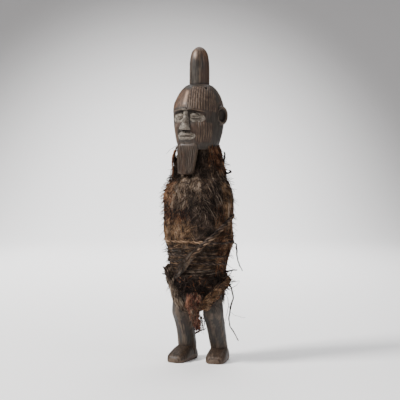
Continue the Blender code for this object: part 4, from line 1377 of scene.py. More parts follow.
FUZZ = [
    (
        "stray_shoulders", (0, 360), (230, 296), 20, 330, (8, 22), 0.62, rootlet, 80, 4.2, 0.8, 9.0,
        "fibre_wrapping",
    ),
    (
        "stray_shoulders_rust", (-95, -30), (236, 290), 0, 150, (7, 16), 0.50, rust_fibre, 90, 3.8, 0.8,
        7.5, "fibre_wrapping",
    ),
    (
        "stray_waist", (0, 360), (116, 230), 30, 340, (8, 20), 0.60, rootlet, 85, 4.2, 0.8, 8.0,
        "fibre_wrapping",
    ),
    ("stray_neck", (30, 330), (300, 340), 0, 210, (8, 20), 0.62, rootlet, 60, 4.4, 1.0, 9.5, "neck_wrapping"),
]
for number, (
    name, turns, heights, lean, count, lengths, thickness, finish, spread, wander, lift, stand, node
) in enumerate(FUZZ):
    bed = patch(*turns, *heights, lean, drape_surface)
    tuft = lay(name, bed, count, lengths, thickness, finish, spread, wander, lift, stand, 90 + number, 6, 110)
    add_to_root(tuft, "matted_palm_fibre", node)
discard(drape)

# Waist and belly cords
# Thin cords of twisted bark fibre, drawn tight round the wrapping: one of three plies round the waist,
# painted pale on the side towards the main lamp and dark behind as painted light and shade, and one of two
# plies wound twice round the belly, its ends tucked under.

WAIST_CORD_Z = 191
WAIST_CORD_RISE = 3.2
WAIST_CORD_RADIUS = 2.4
BELLY_CORD_RADIUS = 2.0
BELLY_TURNS = 2
BELLY_TOP_Z = 177
BELLY_PITCH = 11.5

# The tree that twists plies: it follows a line of points, turns a lobed section as it goes and lets the
# thickness drift.
plying, plying_in, plying_out = group_tree(
    "twisted_plies",
    "GeometryNodeTree",
    [
        ("Line", "Geometry", None),
        ("Closed", "Bool", False),
        ("Thickness", "Float", 0.002),
        ("Plies", "Float", 2.0),
        ("Lobe", "Float", 0.25),
        ("Twist", "Float", 400.0),
        ("Drift", "Float", 0.15),
        ("Tail", "Float", 1.0),
        ("Step", "Float", 0.0008),
        ("Around", "Int", 14),
        ("Finish", "Material", None),
    ],
    [("Cord", "Geometry", None)],
)


def plied(kind, settings=None, inputs=None):
    return add_node(plying, kind, settings, inputs)


course = plied("GeometryNodeMeshToCurve", None, {"Mesh": plying_in.outputs["Line"]}).outputs[0]
closing = plied(
    "GeometryNodeSetSplineCyclic", None, {"Geometry": course, "Cyclic": plying_in.outputs["Closed"]}
).outputs[0]
fine_course = plied(
    "GeometryNodeResampleCurve", {"mode": "LENGTH"}, {"Curve": closing, "Length": plying_in.outputs["Step"]}
).outputs[0]
course_run = plied("GeometryNodeSplineParameter")
twist_angle = sum_of(plying, "MULTIPLY", course_run.outputs["Length"], plying_in.outputs["Twist"])
course_tilted = plied(
    "GeometryNodeSetCurveTilt", None, {"Curve": fine_course, "Tilt": twist_angle}
).outputs[0]
section = plied(
    "GeometryNodeCurvePrimitiveCircle",
    {"mode": "RADIUS"},
    {"Resolution": plying_in.outputs["Around"], "Radius": 1.0},
)
section_turn = sum_of(plying, "MULTIPLY", plied("GeometryNodeSplineParameter").outputs["Factor"], 2 * math.pi)
lobes = plied(
    "ShaderNodeMath",
    {"operation": "COSINE"},
    {0: sum_of(plying, "MULTIPLY", section_turn, plying_in.outputs["Plies"])},
)
section_reach = sum_of(
    plying, "ADD", sum_of(plying, "MULTIPLY", lobes.outputs[0], plying_in.outputs["Lobe"]), 1.0
)
section_place = plied(
    "ShaderNodeVectorMath",
    {"operation": "SCALE"},
    {"Vector": plied("GeometryNodeInputPosition").outputs[0], "Scale": section_reach},
)
lobed = plied(
    "GeometryNodeSetPosition", None, {"Geometry": section.outputs[0], "Position": section_place.outputs[0]}
).outputs[0]
lobed_kept = kept(plying, lobed, "shade", span(plying, lobes.outputs[0], -1.0, 1.0, 0.05, 0.95))
thick_noise = plied(
    "ShaderNodeTexNoise",
    None,
    {"Vector": plied("GeometryNodeInputPosition").outputs[0], "Scale": 120.0, "Detail": 3.0},
)
drift = sum_of(
    plying,
    "MULTIPLY",
    span(plying, thick_noise.outputs[0], 0.25, 0.75, -1.0, 1.0),
    plying_in.outputs["Drift"],
)
tail = plied(
    "ShaderNodeMapRange",
    {"interpolation_type": "SMOOTHSTEP"},
    {"From Min": 0.35, "To Min": 1.0, "To Max": plying_in.outputs["Tail"]},
)
plying.links.new(course_run.outputs["Factor"], tail.inputs["Value"])
thickness = sum_of(plying, "MULTIPLY", plying_in.outputs["Thickness"], sum_of(plying, "ADD", drift, 1.0))
thickness = sum_of(plying, "MULTIPLY", thickness, tail.outputs["Result"])
run_kept = kept(plying, course_tilted, "thickness", thickness)
plied_mesh = plied(
    "GeometryNodeCurveToMesh",
    None,
    {"Curve": run_kept, "Profile Curve": lobed_kept, "Scale": named(plying, "thickness"), "Fill Caps": True},
)
plied_smooth = plied("GeometryNodeSetShadeSmooth", None, {"Geometry": plied_mesh.outputs[0]})
plied_finish = plied(
    "GeometryNodeSetMaterial",
    None,
    {"Geometry": plied_smooth.outputs[0], "Material": plying_in.outputs["Finish"]},
)
plied_plain = plied("GeometryNodeRealizeInstances", None, {"Geometry": plied_finish.outputs[0]})
plying.links.new(plied_plain.outputs[0], plying_out.inputs["Cord"])


def line_of(points, closed=False):
    """A line of points in units, as edges, for a cord to follow."""
    at = np.asarray(points, float) * UNIT + np.array(STAND)
    edges = [(i, i + 1) for i in range(len(at) - 1)]
    if closed:
        edges.append((len(at) - 1, 0))
    mesh = bpy.data.meshes.new("line")
    mesh.from_pydata(at.tolist(), edges, [])
    made = bpy.data.objects.new("line", mesh)
    bpy.context.scene.collection.objects.link(made)
    return made


def twist_cord(
    name, points, radius, finish, closed=False, plies=2, lobe=0.22, twist=380, drift=0.12, step=0.8,
    around=14, tail=1.0,
):
    base = line_of(points, closed)
    values = {
        "Closed": closed,
        "Thickness": radius * UNIT,
        "Plies": float(plies),
        "Lobe": lobe,
        "Twist": float(twist),
        "Drift": drift,
        "Tail": tail,
        "Step": step * UNIT,
        "Around": around,
        "Finish": finish,
    }
    made = work_in(base, plying, name, values)
    discard(base)
    return made


def cord_wander(theta, seed):
    return (
        0.5 * np.sin(3 * theta + seed)
        + 0.35 * np.sin(7 * theta + 2.3 * seed)
        + 0.2 * np.sin(13 * theta + seed)
    )


# One cord in two runs: a pale run on the side towards the main lamp and a dark run behind, painted light and
# painted shade on the same cord.
for name, low, high, finish in (
    ("twisted_waist_cord", -82, 40, cord_fibre),
    ("twisted_waist_cord_behind", 34, 284, bark_fibre),
):
    cord_turns = np.radians(np.linspace(low, high, 150))
    waist_z = (
        WAIST_CORD_Z
        + 0.9 * cord_wander(cord_turns, 1)
        + WAIST_CORD_RISE * bump((cord_turns + 1.2) / 1.9)
    )
    tucked = 1.6 * (bump((cord_turns - cord_turns[0]) / 0.12) + bump((cord_turns - cord_turns[-1]) / 0.12))
    waist_line = mat_surface(
        cord_turns, waist_z, WAIST_CORD_RADIUS + 0.3 * cord_wander(cord_turns, 4) - tucked
    )
    waist_cord = twist_cord(name, waist_line, WAIST_CORD_RADIUS * 0.80, finish, False, 3, 0.13, 190, 0.42)
    add_to_root(waist_cord, "twisted_bark_cord", "waist_cord")

belly_turned = np.linspace(0, 2 * math.pi * BELLY_TURNS, 361)
belly_z = BELLY_TOP_Z - BELLY_PITCH * belly_turned / (2 * math.pi) + 0.8 * cord_wander(belly_turned * 1.03, 2)
belly_off = (
    BELLY_CORD_RADIUS
    - 2.2 * (bump(belly_turned / 0.25) + bump((belly_turned - belly_turned[-1]) / 0.25))
)
belly_line = mat_surface(belly_turned + math.pi, belly_z, belly_off)
belly_cord = twist_cord(
    "twisted_belly_cord", belly_line, BELLY_CORD_RADIUS * 0.8, bark_fibre, False, 2, 0.18, 330, 0.3, 1.1, 11
)
add_to_root(belly_cord, "twisted_bark_cord", "belly_cord")

# Slanting bark band
# A flat strip of bark, soaked and half twisted, drawn slantwise round the body over the cords, with two
# twisted cords along it; it is widest low on the figure's right, where it goes under the hip rope.

BAND_WIDTH = 9.0
BAND_THICKNESS = 3.6
BAND_MIDDLE_Z = 178
BAND_RISE = 53
BAND_TURN = math.radians(20)
BAND_START = math.radians(-37)
BAND_END = math.radians(205)

BAND_ROWS = 190
BAND_SIDES = 34
band_share = np.linspace(0, 1, BAND_ROWS)
band_theta = BAND_START + (BAND_END - BAND_START) * band_share
band_z = BAND_MIDDLE_Z + BAND_RISE * np.sin(band_theta - BAND_TURN)
slope_reach = BAND_WIDTH / 2 * 1.5 + BELLY_CORD_RADIUS
band_lift = (2 * WAIST_CORD_RADIUS) * bump(np.maximum(0, np.abs(band_z - WAIST_CORD_Z) - slope_reach) / 9)
for turn in range(BELLY_TURNS + 1):
    turned = (band_theta - math.pi) % (2 * math.pi) + 2 * math.pi * turn
    cord_z = BELLY_TOP_Z - BELLY_PITCH * turned / (2 * math.pi)
    crossed = (
        bump(np.maximum(0, np.abs(band_z - cord_z) - slope_reach) / 9)
        * (turned <= 2 * math.pi * BELLY_TURNS)
    )
    band_lift = np.maximum(band_lift, 2 * BELLY_CORD_RADIUS * 0.85 * crossed)
band_middle = mat_surface(band_theta, band_z, BAND_THICKNESS / 2 + band_lift)
band_along = np.gradient(band_middle, axis=0)
band_along /= np.linalg.norm(band_along, axis=1)[:, None]
band_out = outward(band_theta)
band_out -= band_along * np.einsum("ij,ij->i", band_out, band_along)[:, None]
band_out /= np.linalg.norm(band_out, axis=1)[:, None]
band_up = np.cross(band_along, band_out)
around_band = np.linspace(0, 2 * math.pi, BAND_SIDES, endpoint=False)[None, :]
share = band_share[:, None]
taper = 0.35 + 0.65 * smooth_step(np.minimum(share, 1 - share), 0, 0.07)
widening = 1 + 0.42 * (1 - smooth_step(share, 0.08, 0.24)) - 0.42 * smooth_step(share, 0.20, 0.34)
cords_in_band = 1 + 0.26 * np.sin(7 * around_band + 22 * share) + 0.14 * np.sin(15 * around_band - 47 * share)
frayed = 1 + 0.07 * np.sin(around_band * 2 + 90 * share) + 0.06 * np.sin(61 * share + 1)
half_up = BAND_WIDTH / 2 * taper * widening * frayed
half_out = BAND_THICKNESS / 2 * (0.75 + 0.25 * taper) * cords_in_band
flat_up = np.sign(np.sin(around_band)) * np.abs(np.sin(around_band)) ** 0.85
band_points = (
    band_middle[:, None, :]
    + band_out[:, None, :] * (np.cos(around_band) * half_out)[..., None]
    + band_up[:, None, :] * (flat_up * half_up)[..., None]
)
band = skin("slanting_bark_band", band_points)


def bark_finish(name, dark, middle, light):
    """Weathered bark strip: lengthwise streaks read from the piece's own run and girth attributes, with
    painted shade darkening its hollows.
    """
    made = bpy.data.materials.new(name)
    made.use_nodes = True
    tree = made.node_tree
    shader = tree.nodes["Principled BSDF"]
    run = add_node(
        tree, "ShaderNodeCombineXYZ", None, {"X": mask_of(tree, "run"), "Y": mask_of(tree, "girth")}
    )
    streaks = mottle(tree, stretched(tree, run.outputs[0], (9, 2.6, 1)), 3.0, 4, 0.65)
    place = add_node(tree, "ShaderNodeTexCoord").outputs["Object"]
    tone = add_node(
        tree,
        "ShaderNodeGroup",
        {"node_tree": fibre_group},
        {"Dark": (*dark, 1), "Middle": (*middle, 1), "Light": (*light, 1), "Place": place, "Shade": streaks},
    )
    # Painted shade: hollows between the plies and along the edges are darkened almost to black.
    low = span(tree, mask_of(tree, "relief"), -0.1, -0.8, 0, 0.85)
    tree.links.new(
        mixed(tree, low, tone.outputs["Colour"], (0.008, 0.006, 0.005)), shader.inputs["Base Color"]
    )
    lines = add_node(tree, "ShaderNodeBump", None, {"Strength": 0.8, "Distance": 0.0006, "Height": streaks})
    tree.links.new(lines.outputs["Normal"], shader.inputs["Normal"])
    shader.inputs["Roughness"].default_value = 0.8
    shader.inputs["Specular IOR Level"].default_value = 0.3
    return made


def write_run(piece, rows, columns, length):
    """Writes how far along and how far round each point of a skin lies, and how far it stands out, which the
    bark finish uses for painted shade in hollows.
    """
    run = np.repeat(np.linspace(0, length, rows), columns)
    girth = np.tile(np.abs(np.linspace(-1, 1, columns)), rows)
    write_mask(piece.data, "run", run)
    write_mask(piece.data, "girth", girth)
    write_mask(piece.data, "relief", np.clip(standing_out(piece.data, 6) / 0.0003, -1, 1))


grey_bark = bark_finish("grey_bark", (0.012, 0.009, 0.007), (0.048, 0.035, 0.027), (0.115, 0.086, 0.066))
write_run(band, BAND_ROWS, BAND_SIDES, 6.0)
band.data.materials.append(grey_bark)
band.data.shade_smooth()
add_to_root(band, "twisted_bark_cord", "slanting_band")


def skin_patch(piece, keep, direction):
    """A copy of a piece's skin where keep holds, its grain along a direction found at each point."""
    mesh = piece.data.copy()
    mesh.materials.clear()
    at = (read(mesh) - np.array(STAND)) / UNIT
    form = bmesh.new()
    form.from_mesh(mesh)
    form.verts.ensure_lookup_table()
    keepers = keep(at)
    bmesh.ops.delete(form, geom=[v for v in form.verts if not keepers[v.index]], context="VERTS")
    form.to_mesh(mesh)
    form.free()
    at = (read(mesh) - np.array(STAND)) / UNIT
    layer = mesh.attributes.new("grain", "FLOAT_VECTOR", "POINT")
    layer.data.foreach_set("vector", direction(at).astype(np.float32).ravel())
    made = bpy.data.objects.new("skin_patch", mesh)
    bpy.context.scene.collection.objects.link(made)
    return made, sum(f.area for f in mesh.polygons)


def along_line(line, closed=False, round_turn=0.0):
    """A grain that follows a line of points, slanted round it by round_turn as the plies of a rope are."""
    line = np.asarray(line, float)
    if closed:
        tangent = np.roll(line, -1, axis=0) - np.roll(line, 1, axis=0)
    else:
        tangent = np.gradient(line, axis=0)
    tangent = tangent / np.linalg.norm(tangent, axis=1)[:, None]

    def direction(at):
        near = np.argmin(((at[:, None, :] - line[None, :, :]) ** 2).sum(-1), axis=1)
        away = at - line[near]
        side = np.cross(tangent[near], away)
        side = side / (np.linalg.norm(side, axis=1)[:, None] + 1e-9)
        return tangent[near] * math.cos(round_turn) + side * math.sin(round_turn)

    return direction


for name, count, finish, seed in (
    ("bark_band_fibres", 260, brown_fibre, 110),
    ("bark_band_fibres_grey", 220, grey_fibre, 111),
    ("bark_band_fibres_dark", 120, rootlet, 112),
):
    band_bed = skin_patch(band, lambda at: np.ones(len(at), bool), along_line(band_middle))
    band_fibres = lay(name, band_bed, count, (12, 30), 0.34, finish, 8, 0.8, 0.6, 0.6, seed, 6, 60, band)
    add_to_root(band_fibres, "twisted_bark_cord", "slanting_band")
for name, low, high, above, finish in (
    ("twisted_band_cord", 0.20, 0.62, 1.3, brown_fibre),
    ("twisted_band_cord_dark", 0.26, 0.70, -2.2, bark_fibre),
):
    on_band = (band_share > low) & (band_share < high)
    cord_line = band_middle + band_out * (BAND_THICKNESS / 2 + 0.5) + band_up * above
    band_cord = twist_cord(name, cord_line[on_band], 1.75, finish, False, 2, 0.30, 300, 0.30, around=12)
    add_to_root(band_cord, "twisted_bark_cord", "slanting_band")

# Hip rope
# A thick rope of loosely twisted bark fibre round the hips. It dips in front of the thighs, is rolled
# thickest over the left one and ends there in a rounded lump, and is knotted at the right hip.

HIP_ROPE_RADIUS = 5.0
HIP_ROLL_RADIUS = 6.6
HIP_ROPE_RUN = [
    (0, 88, 35), (24, 90, 38), (42, 98, 42), (58, 110, 43), (79, 121, 41), (101, 127, 39.5), (124, 130, 40),
    (150, 134, 42), (180, 138, 42), (209, 142, 44), (235, 146, 46), (262, 149, 46), (284, 147, 45),
    (302, 137, 45), (317, 122, 45), (330, 106, 43), (344, 93, 38),
]
KNOT_RUN = [(301, 121, 47.5), (296, 130, 48.5), (291, 139, 50), (287, 147, 51.5)]
KNOT_HALF = [(0.0, 2.5), (0.3, 4.6), (0.6, 4.4), (0.9, 2.4), (1.0, 0.8)]


def through(points, per_span, closed):
    """Points along a smooth curve through given ones."""
    given = np.asarray(points, float)
    n = len(given)
    made = []
    for i in range(n if closed else n - 1):
        if closed:
            a, b, c, d = (given[(i + j - 1) % n] for j in range(4))
        else:
            a, b, c, d = (given[min(max(i + j - 1, 0), n - 1)] for j in range(4))
        for s in range(per_span):
            t = s / per_span
            made.append(
                0.5
                * (
                    2 * b
                    + (c - a) * t
                    + (2 * a - 5 * b + 4 * c - d) * t * t
                    + (3 * b - a - 3 * c + d) * t**3
                )
            )
    return np.array(made if closed else [*made, given[-1]])


def tube(name, path, half_out, half_up, sides, closed=False, plies=0, lobe=0.0, twist=0.0, rough=0.0):
    """A skin round a path; half_out and half_up give its half thicknesses by the share of the path."""
    path = np.asarray(path, float)
    count = len(path)
    if closed:
        along = np.roll(path, -1, axis=0) - np.roll(path, 1, axis=0)
        share = np.arange(count) / count
    else:
        along = np.gradient(path, axis=0)
        share = np.linspace(0, 1, count)
    along = along / np.linalg.norm(along, axis=1)[:, None]
    away = path * np.array((1, 1, 0))
    away = away - along * np.einsum("ij,ij->i", away, along)[:, None]
    away = away / np.linalg.norm(away, axis=1)[:, None]
    up = np.cross(along, away)
    angle = np.linspace(0, 2 * math.pi, sides, endpoint=False)[None, :]
    run = share[:, None]
    ply = 1 + lobe * np.cos(plies * (angle - twist * run))
    ply = (
        ply
        + rough
        * (np.sin(7 * angle - 5 * twist * run + 3 * np.sin(40 * run)) + 0.6 * np.sin(11 * angle + 97 * run))
    )
    return skin(
        name,
        path[:, None, :]
        + away[:, None, :] * (np.cos(angle) * half_out(share)[:, None] * ply)[..., None]
        + up[:, None, :] * (np.sin(angle) * half_up(share)[:, None] * ply)[..., None],
        joined=closed,
    )


def around(degrees, z, reach):
    theta = math.radians(degrees)
    return (reach * math.sin(theta), -reach * math.cos(theta), z)


def rope_radius(share):
    roll = smooth_step(share, 0.0, 0.08) * (1 - smooth_step(share, 0.24, 0.42))
    return HIP_ROPE_RADIUS + (HIP_ROLL_RADIUS - HIP_ROPE_RADIUS) * roll


rope_run = []
for number, (degrees, z, least) in enumerate(HIP_ROPE_RUN):
    theta = np.array(math.radians(degrees))
    radius = float(rope_radius(np.array(number / len(HIP_ROPE_RUN)))) * 1.10
    mat = mat_surface(
        theta, np.array(float(max(z, MAT_BOTTOM_Z))), radius + 0.6 - 5.0 * bump((degrees - 110) / 56)
    )
    rope_run.append(around(degrees, z, max(least, math.hypot(mat[0], mat[1]))))
rope_path = through(rope_run, 16, closed=True)


def worn_radius(share):
    uneven = 1 + 0.07 * np.sin(share * 44) + 0.06 * np.sin(share * 97 + 1)
    under_tassel = np.abs((share - 0.035 + 0.5) % 1 - 0.5)
    return (
        rope_radius(share)
        * 0.86
        * uneven
        * (1 - 0.40 * bump(under_tassel / 0.085) - 0.24 * bump((share - 0.81) / 0.1))
    )


rope = tube(
    "twisted_hip_rope",
    rope_path,
    worn_radius,
    worn_radius,
    34,
    True,
    plies=3,
    lobe=0.16,
    twist=2 * math.pi * 5,
    rough=0.05,
)
write_run(rope, len(rope_path), 34, 26.0)
rope_bark = bark_finish("rope_bark", (0.020, 0.012, 0.008), (0.080, 0.047, 0.029), (0.21, 0.130, 0.080))
rope.data.materials.append(rope_bark)
rope.data.shade_smooth()
add_to_root(rope, "twisted_bark_cord", "hip_rope")

knot_path = through([around(*row) for row in KNOT_RUN], 14, closed=False)


def knot_half(share):
    return ease(KNOT_HALF, share)[:, 0]


lump_path = through(
    [around(*row) for row in ((52, 106, 44), (46, 99, 44.5), (40, 93.5, 44.5), (35, 89, 44))],
    14,
    closed=False,
)
lump_half = [(0.0, 3.2), (0.3, 5.4), (0.7, 5.8), (0.92, 4.2), (1.0, 1.5)]
lump = tube(
    "rope_end_lump",
    lump_path,
    lambda s: ease(lump_half, s)[:, 0] * 0.8,
    lambda s: ease(lump_half, s)[:, 0],
    36,
    plies=4,
    lobe=0.10,
    twist=5,
    rough=0.05,
)
write_run(lump, len(lump_path), 36, 3.0)
lump.data.materials.append(rope_bark)
lump.data.shade_smooth()
add_to_root(lump, "twisted_bark_cord", "hip_rope")
for name, count, finish, seed in (
    ("lump_fibres", 240, ochre_fibre, 160), ("lump_fibres_brown", 160, brown_fibre, 161)
):
    lump_bed = skin_patch(lump, lambda at: np.ones(len(at), bool), along_line(lump_path, False, 0.5))
    lump_fibres = lay(name, lump_bed, count, (8, 18), 0.36, finish, 24, 1.2, 0.6, 1.2, seed, 7, 80, lump)
    add_to_root(lump_fibres, "twisted_bark_cord", "hip_rope")

knot = tube(
    "hip_rope_knot",
    knot_path,
    lambda s: knot_half(s) * 0.7,
    knot_half,
    28,
    plies=4,
    lobe=0.14,
    twist=9,
    rough=0.06,
)
write_run(knot, len(knot_path), 28, 3.0)
dark_bark = bark_finish("dark_bark", (0.010, 0.007, 0.006), (0.030, 0.021, 0.016), (0.075, 0.055, 0.042))
knot.data.materials.append(dark_bark)
knot.data.shade_smooth()
add_to_root(knot, "twisted_bark_cord", "hip_rope")


def above_rope(at):
    near = np.argmin(((at[:, None, :] - rope_path[None, :, :]) ** 2).sum(-1), axis=1)
    return at[:, 2] > rope_path[near][:, 2] - 0.5


# Ochre strands go only over the rope's upper front side and dark ones under it and behind: ochre fibre as a
# painted highlight on the top, and painted shade underneath.
ROPE_FIBRES = [
    (
        "hip_rope_fibres_ochre", lambda at: (at[:, 0] > 2) & (at[:, 1] < 20) & above_rope(at), 420,
        (10, 26), 0.46, ochre_fibre, 14, 1.1, 1.0, 1.0,
    ),
    (
        "hip_rope_fibres_rust", lambda at: (at[:, 0] > 2) & (at[:, 1] < 26), 300, (8, 22), 0.44,
        rust_fibre, 22, 1.5, 0.8, 1.4,
    ),
    (
        "hip_rope_fibres_brown", lambda at: np.ones(len(at), bool), 540, (12, 28), 0.42, brown_fibre, 18,
        1.3, 0.6, 0.8,
    ),
    (
        "hip_rope_fibres_dark", lambda at: ~above_rope(at) | (at[:, 1] > 20), 300, (10, 24), 0.44,
        bark_fibre, 26, 1.6, 0.8, 1.8,
    ),
    (
        "hip_rope_fibres_pale", lambda at: (at[:, 0] < -8) & (at[:, 1] < -8), 420, (10, 22), 0.58,
        pale_fibre, 12, 1.0, 1.5, 1.0,
    ),
    (
        "hip_rope_curls", lambda at: (at[:, 0] > 30) & (at[:, 1] < 10), 60, (10, 26), 0.62, rootlet, 90,
        6.0, 1.0, 14.0,
    ),
    ("hip_rope_strays", lambda at: np.ones(len(at), bool), 220, (6, 16), 0.58, bark_fibre, 75, 3.2, 0.6, 7.5),
]
for number, (
    name, keep, count, lengths, thickness, finish, spread, wander, lift, stand
) in enumerate(ROPE_FIBRES):
    bed = skin_patch(rope, keep, along_line(rope_path, True, math.radians(24)))
    fibres = lay(
        name, bed, count, lengths, thickness, finish, spread, wander, lift, stand, 120 + number, 6, 70, rope
    )
    add_to_root(fibres, "twisted_bark_cord", "hip_rope")
knot_bed = skin_patch(knot, lambda at: np.ones(len(at), bool), along_line(knot_path, False, 0.3))
knot_fibres = lay("knot_fibres", knot_bed, 170, (8, 20), 0.40, rootlet, 20, 1.2, 0.6, 1.6, 130, 7, 70, knot)
add_to_root(knot_fibres, "twisted_bark_cord", "hip_rope")

# Loin tassel
# A tuft of reddened fibre that hangs from the hip rope between the thighs.

TASSEL_RUN = [
    (-9, 112, 33), (-9.5, 106, 38.5), (-9.5, 98, 43), (-9.5, 89, 43), (-9, 79, 39), (-7, 70, 34),
    (-5, 62, 30), (-3.5, 55, 27),
]
TASSEL_HALF = [(0.0, 4), (0.12, 10.5), (0.30, 10.0), (0.50, 5.2), (0.75, 2.6), (1.0, 0.8)]
TASSEL_LOCKS = [
    # aside at the root, aside at the tip, ahead, length as a share, thickness
    (-10, -3.5, 1.0, 0.62, 1.9), (-6, -1.5, 2.2, 0.88, 2.0), (-2, 0.5, 3.0, 1.0, 1.8),
    (2, 2.0, 2.6, 0.78, 1.9),
    (6, 4.0, 1.6, 0.94, 1.5), (11, 7.5, 0.6, 0.60, 1.4), (7, -3.0, 3.4, 0.52, 1.8), (-5, 5.0, 3.4, 0.50, 1.8),
]


def seen_from_front(u, z, depth):
    """A point u units to the side of the axis as the camera sees it, at a depth from the axis towards it."""
    at = ASIDE * u + AHEAD * depth
    return (at.x, at.y, z)


tassel_path = through([seen_from_front(*row) for row in TASSEL_RUN], 16, closed=False)


def tassel_half(share):
    return ease(TASSEL_HALF, share)[:, 0]


tassel = tube(
    "red_tassel",
    tassel_path,
    lambda s: tassel_half(s) * 0.24,
    lambda s: tassel_half(s) * 0.8,
    40,
    plies=5,
    lobe=0.14,
    twist=1.5,
    rough=0.06,
)
write_run(tassel, len(tassel_path), 40, 3.0)
red_bark = bark_finish(
    "reddened_fibre_core", (0.014, 0.006, 0.005), (0.046, 0.019, 0.013), (0.12, 0.055, 0.036)
)
tassel.data.materials.append(red_bark)
tassel.data.shade_smooth()
add_to_root(tassel, "reddened_fibre", "loin_tassel")
red_fibre = fibre_finish("reddened_fibre", (0.046, 0.015, 0.010), (0.165, 0.064, 0.042), (0.37, 0.180, 0.122))
TASSEL_FIBRES = [
    ("tassel_strands", 330, (12, 26), 0.48, red_fibre, 24, 3.0, 1.4, 2.6),
    ("tassel_strands_ochre", 50, (12, 26), 0.42, ochre_fibre, 24, 3.2, 2.0, 3.5),
    ("tassel_strands_pale", 40, (12, 26), 0.40, pale_fibre, 30, 3.2, 2.0, 4.0),
    ("tassel_strands_dark", 150, (12, 26), 0.50, rootlet, 30, 3.2, 1.8, 3.2),
    ("tassel_strays", 120, (12, 26), 0.28, bark_fibre, 50, 3.6, 1.4, 9.0),
]
for number, (
    name, count, lengths, thickness, finish, spread, wander, lift, stand
) in enumerate(TASSEL_FIBRES):
    bed = skin_patch(tassel, lambda at: np.ones(len(at), bool), along_line(tassel_path))
    fibres = lay(
        name,
        bed,
        count,
        lengths,
        thickness,
        finish,
        spread,
        wander,
        lift,
        stand,
        140 + number,
        7,
        80,
        tassel,
    )
    add_to_root(fibres, "reddened_fibre", "loin_tassel")
for number, (root, tip, ahead, length, thick) in enumerate(TASSEL_LOCKS):
    down = np.linspace(0, 1, 26)
    along = ease([(k / (len(tassel_path) - 1), *at) for k, at in enumerate(tassel_path)], down * length)
    aside = root * (1 - down) + tip * down + 1.1 * np.sin(7 * down + 2 * number)
    lock_path = (
        along
        + np.array(ASIDE) * aside[:, None]
        + np.array(AHEAD) * (ahead + 0.8 * np.sin(5 * down + number))[:, None]
    )
    lock_half = [(0.0, 0.4), (0.25, thick), (0.75, thick * 0.6), (1.0, 0.3)]
    lock = tube(
        f"tassel_lock_{number + 1}",
        lock_path,
        lambda s: ease(lock_half, s)[:, 0] * 0.7,
        lambda s: ease(lock_half, s)[:, 0],
        12,
        plies=3,
        lobe=0.16,
        twist=8,
    )
    write_run(lock, 26, 12, 2.0)
    lock.data.materials.append(red_bark)
    lock.data.shade_smooth()
    add_to_root(lock, "reddened_fibre", "loin_tassel")
    lock_bed = skin_patch(lock, lambda at: np.ones(len(at), bool), along_line(lock_path, False, 0.2))
    lock_finish = (red_fibre, rust_fibre, red_fibre, bark_fibre)[number % 4]
    lock_fibres = lay(
        f"tassel_lock_{number + 1}_fibres",
        lock_bed,
        60,
        (8, 18),
        0.40,
        lock_finish,
        14,
        1.6,
        0.5,
        2.5,
        200 + number,
        7,
        90,
        lock,
    )
    add_to_root(lock_fibres, "reddened_fibre", "loin_tassel")

# Loose strands
# Stiff dry rootlets and twigs that have worked out of the binding and stand away from the body.

LONG_STRAND_RUN = [
    (46, 5, 126), (48.6, 6, 124), (53, 8, 116), (55.5, 8, 104), (51, 8, 86), (48.5, 8, 72), (49.5, 8, 60),
    (56, 8, 50), (65.5, 8, 35.5),
]
WAIST_STRAND_RUN = [
    (54, 10, 190), (58.0, 14, 186), (58.5, 15, 176), (60, 15, 163), (64, 15, 153), (69, 15, 145)
]
HIP_TWIG_RUN = [(42, 3, 143.6), (47.6, 4, 144.6), (53, 4.5, 145.6), (59, 5, 147), (64.5, 5, 147.5)]

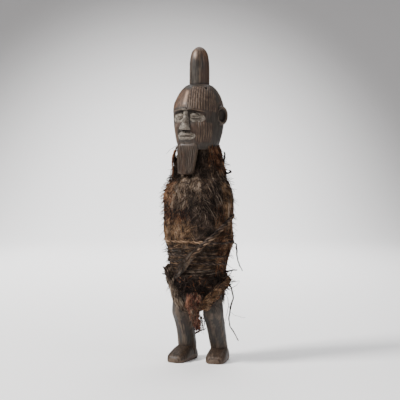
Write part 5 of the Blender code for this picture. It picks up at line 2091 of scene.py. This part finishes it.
LOOSE = [
    # name, node, points, thickness
    ("long_rootlet", "long_strand", LONG_STRAND_RUN, 1.30),
    ("waist_rootlet", "waist_strand", WAIST_STRAND_RUN, 1.15),
    ("hip_rootlet_twig", "hip_twig", HIP_TWIG_RUN, 1.30),
]
LOOSE_IN_FRONT = [
    # name, node, points as seen from the front (across, height, towards the viewer), thickness
    (
        "neck_curl", "neck_wrapping",
        ((31, 312, 4), (35, 306, 5), (40, 300, 5), (45.6, 299, 4), (50, 300.5, 3), (48, 303, 2)), 2.1,
    ),
    ("neck_twig", "neck_wrapping", ((31, 300, 2), (36, 310, 2), (39.6, 321, 1), (40.2, 332, 0)), 1.9),
    ("right_whisker", "neck_wrapping", ((-33, 344, 8), (-38, 341, 8), (-45, 337, 7), (-53, 329, 7)), 0.35),
    ("hip_whisker", "hip_rope", ((40, 112, 10), (46, 92, 8), (42, 70, 6), (39, 52, 5)), 0.40),
    ("hip_whisker_low", "hip_rope", ((46, 92, 6), (50, 78, 6), (60, 72, 5), (73, 69, 4)), 0.28),
    ("knot_spike", "hip_rope", ((-46, 126, 12), (-49, 136, 13), (-53, 144, 12), (-57, 151, 11)), 2.2),
    ("knot_spike_low", "hip_rope", ((-44, 130, 16), (-50, 136, 14), (-54, 139, 12), (-58.5, 140, 10)), 1.6),
    ("knot_spike_thin", "hip_rope", ((-46, 128, 14), (-48, 140, 15), (-51, 152, 14)), 1.2),
    ("loin_twig", "loin_tassel", ((-7, 47, 18), (-1, 49.5, 17), (5, 52.5, 17), (10, 54.5, 17)), 1.30),
]
for name, node, seen, thickness in LOOSE_IN_FRONT:
    LOOSE.append((name, node, [seen_from_front(*p) for p in seen], thickness))
for number in range(8):
    side = -2 + 1.2 * number
    curl = [
        (side, 80 - number, 34),
        (side + 3 * math.sin(2.3 * number), 70, 33),
        (side - 2.5 * math.cos(1.7 * number), 61, 31),
    ]
    curl.append((side - 1 + 3 * math.sin(number + 1), 52 + number % 3, 28))
    LOOSE.append((f"tassel_curl_{number + 1}", "loin_tassel", [seen_from_front(*p) for p in curl], 0.62))
for name, node, run, thickness in LOOSE:
    path = through(run, 12, closed=False)
    turn = np.linspace(0, 1, len(path))[:, None]
    path = path + 0.35 * np.sin(turn * np.array((37, 29, 23)) + np.array((0, 2, 4)))
    strand = twist_cord(name, path, thickness, rootlet, False, 3, 0.10, 160, 0.22, 0.9, 8, 0.6)
    add_to_root(strand, "dry_rootlet", node)

# Neck locks
# Loose locks of the neck roll's fibre that hang beside the beard and under the left ear; their upper ends
# are caught under the jaw.

for number in range(18):
    left = number % 3 == 2
    root = 29 + 1.1 * number % 5 if left else -35 - 1.3 * number % 4
    rise = 342 - 2.3 * number % 7
    sway = 0.8 * math.sin(2.1 * number)
    depth = 4 + 3.7 * number % 14
    run = [(root, rise, depth), (root - 3 + sway, rise - 10, depth), (root - 4 - sway, rise - 22, depth)]
    run += [(root - 3 + 2 * sway, rise - 33, depth), (root - 4, rise - 40 - number % 4, depth)]
    if left:
        run = [(root + 2 * (root - u) * 0.4, rise_z, back - 8) for u, rise_z, back in run]
    path = through([seen_from_front(*row) for row in run], 12, closed=False)
    finish = rust_fibre if number % 5 < 2 else bark_fibre
    lock = twist_cord(f"neck_lock_{number + 1}", path, 1.15, finish, False, 3, 0.16, 220, 0.5, 1.1, 8, 0.5)
    add_to_root(lock, "matted_palm_fibre", "neck_wrapping")
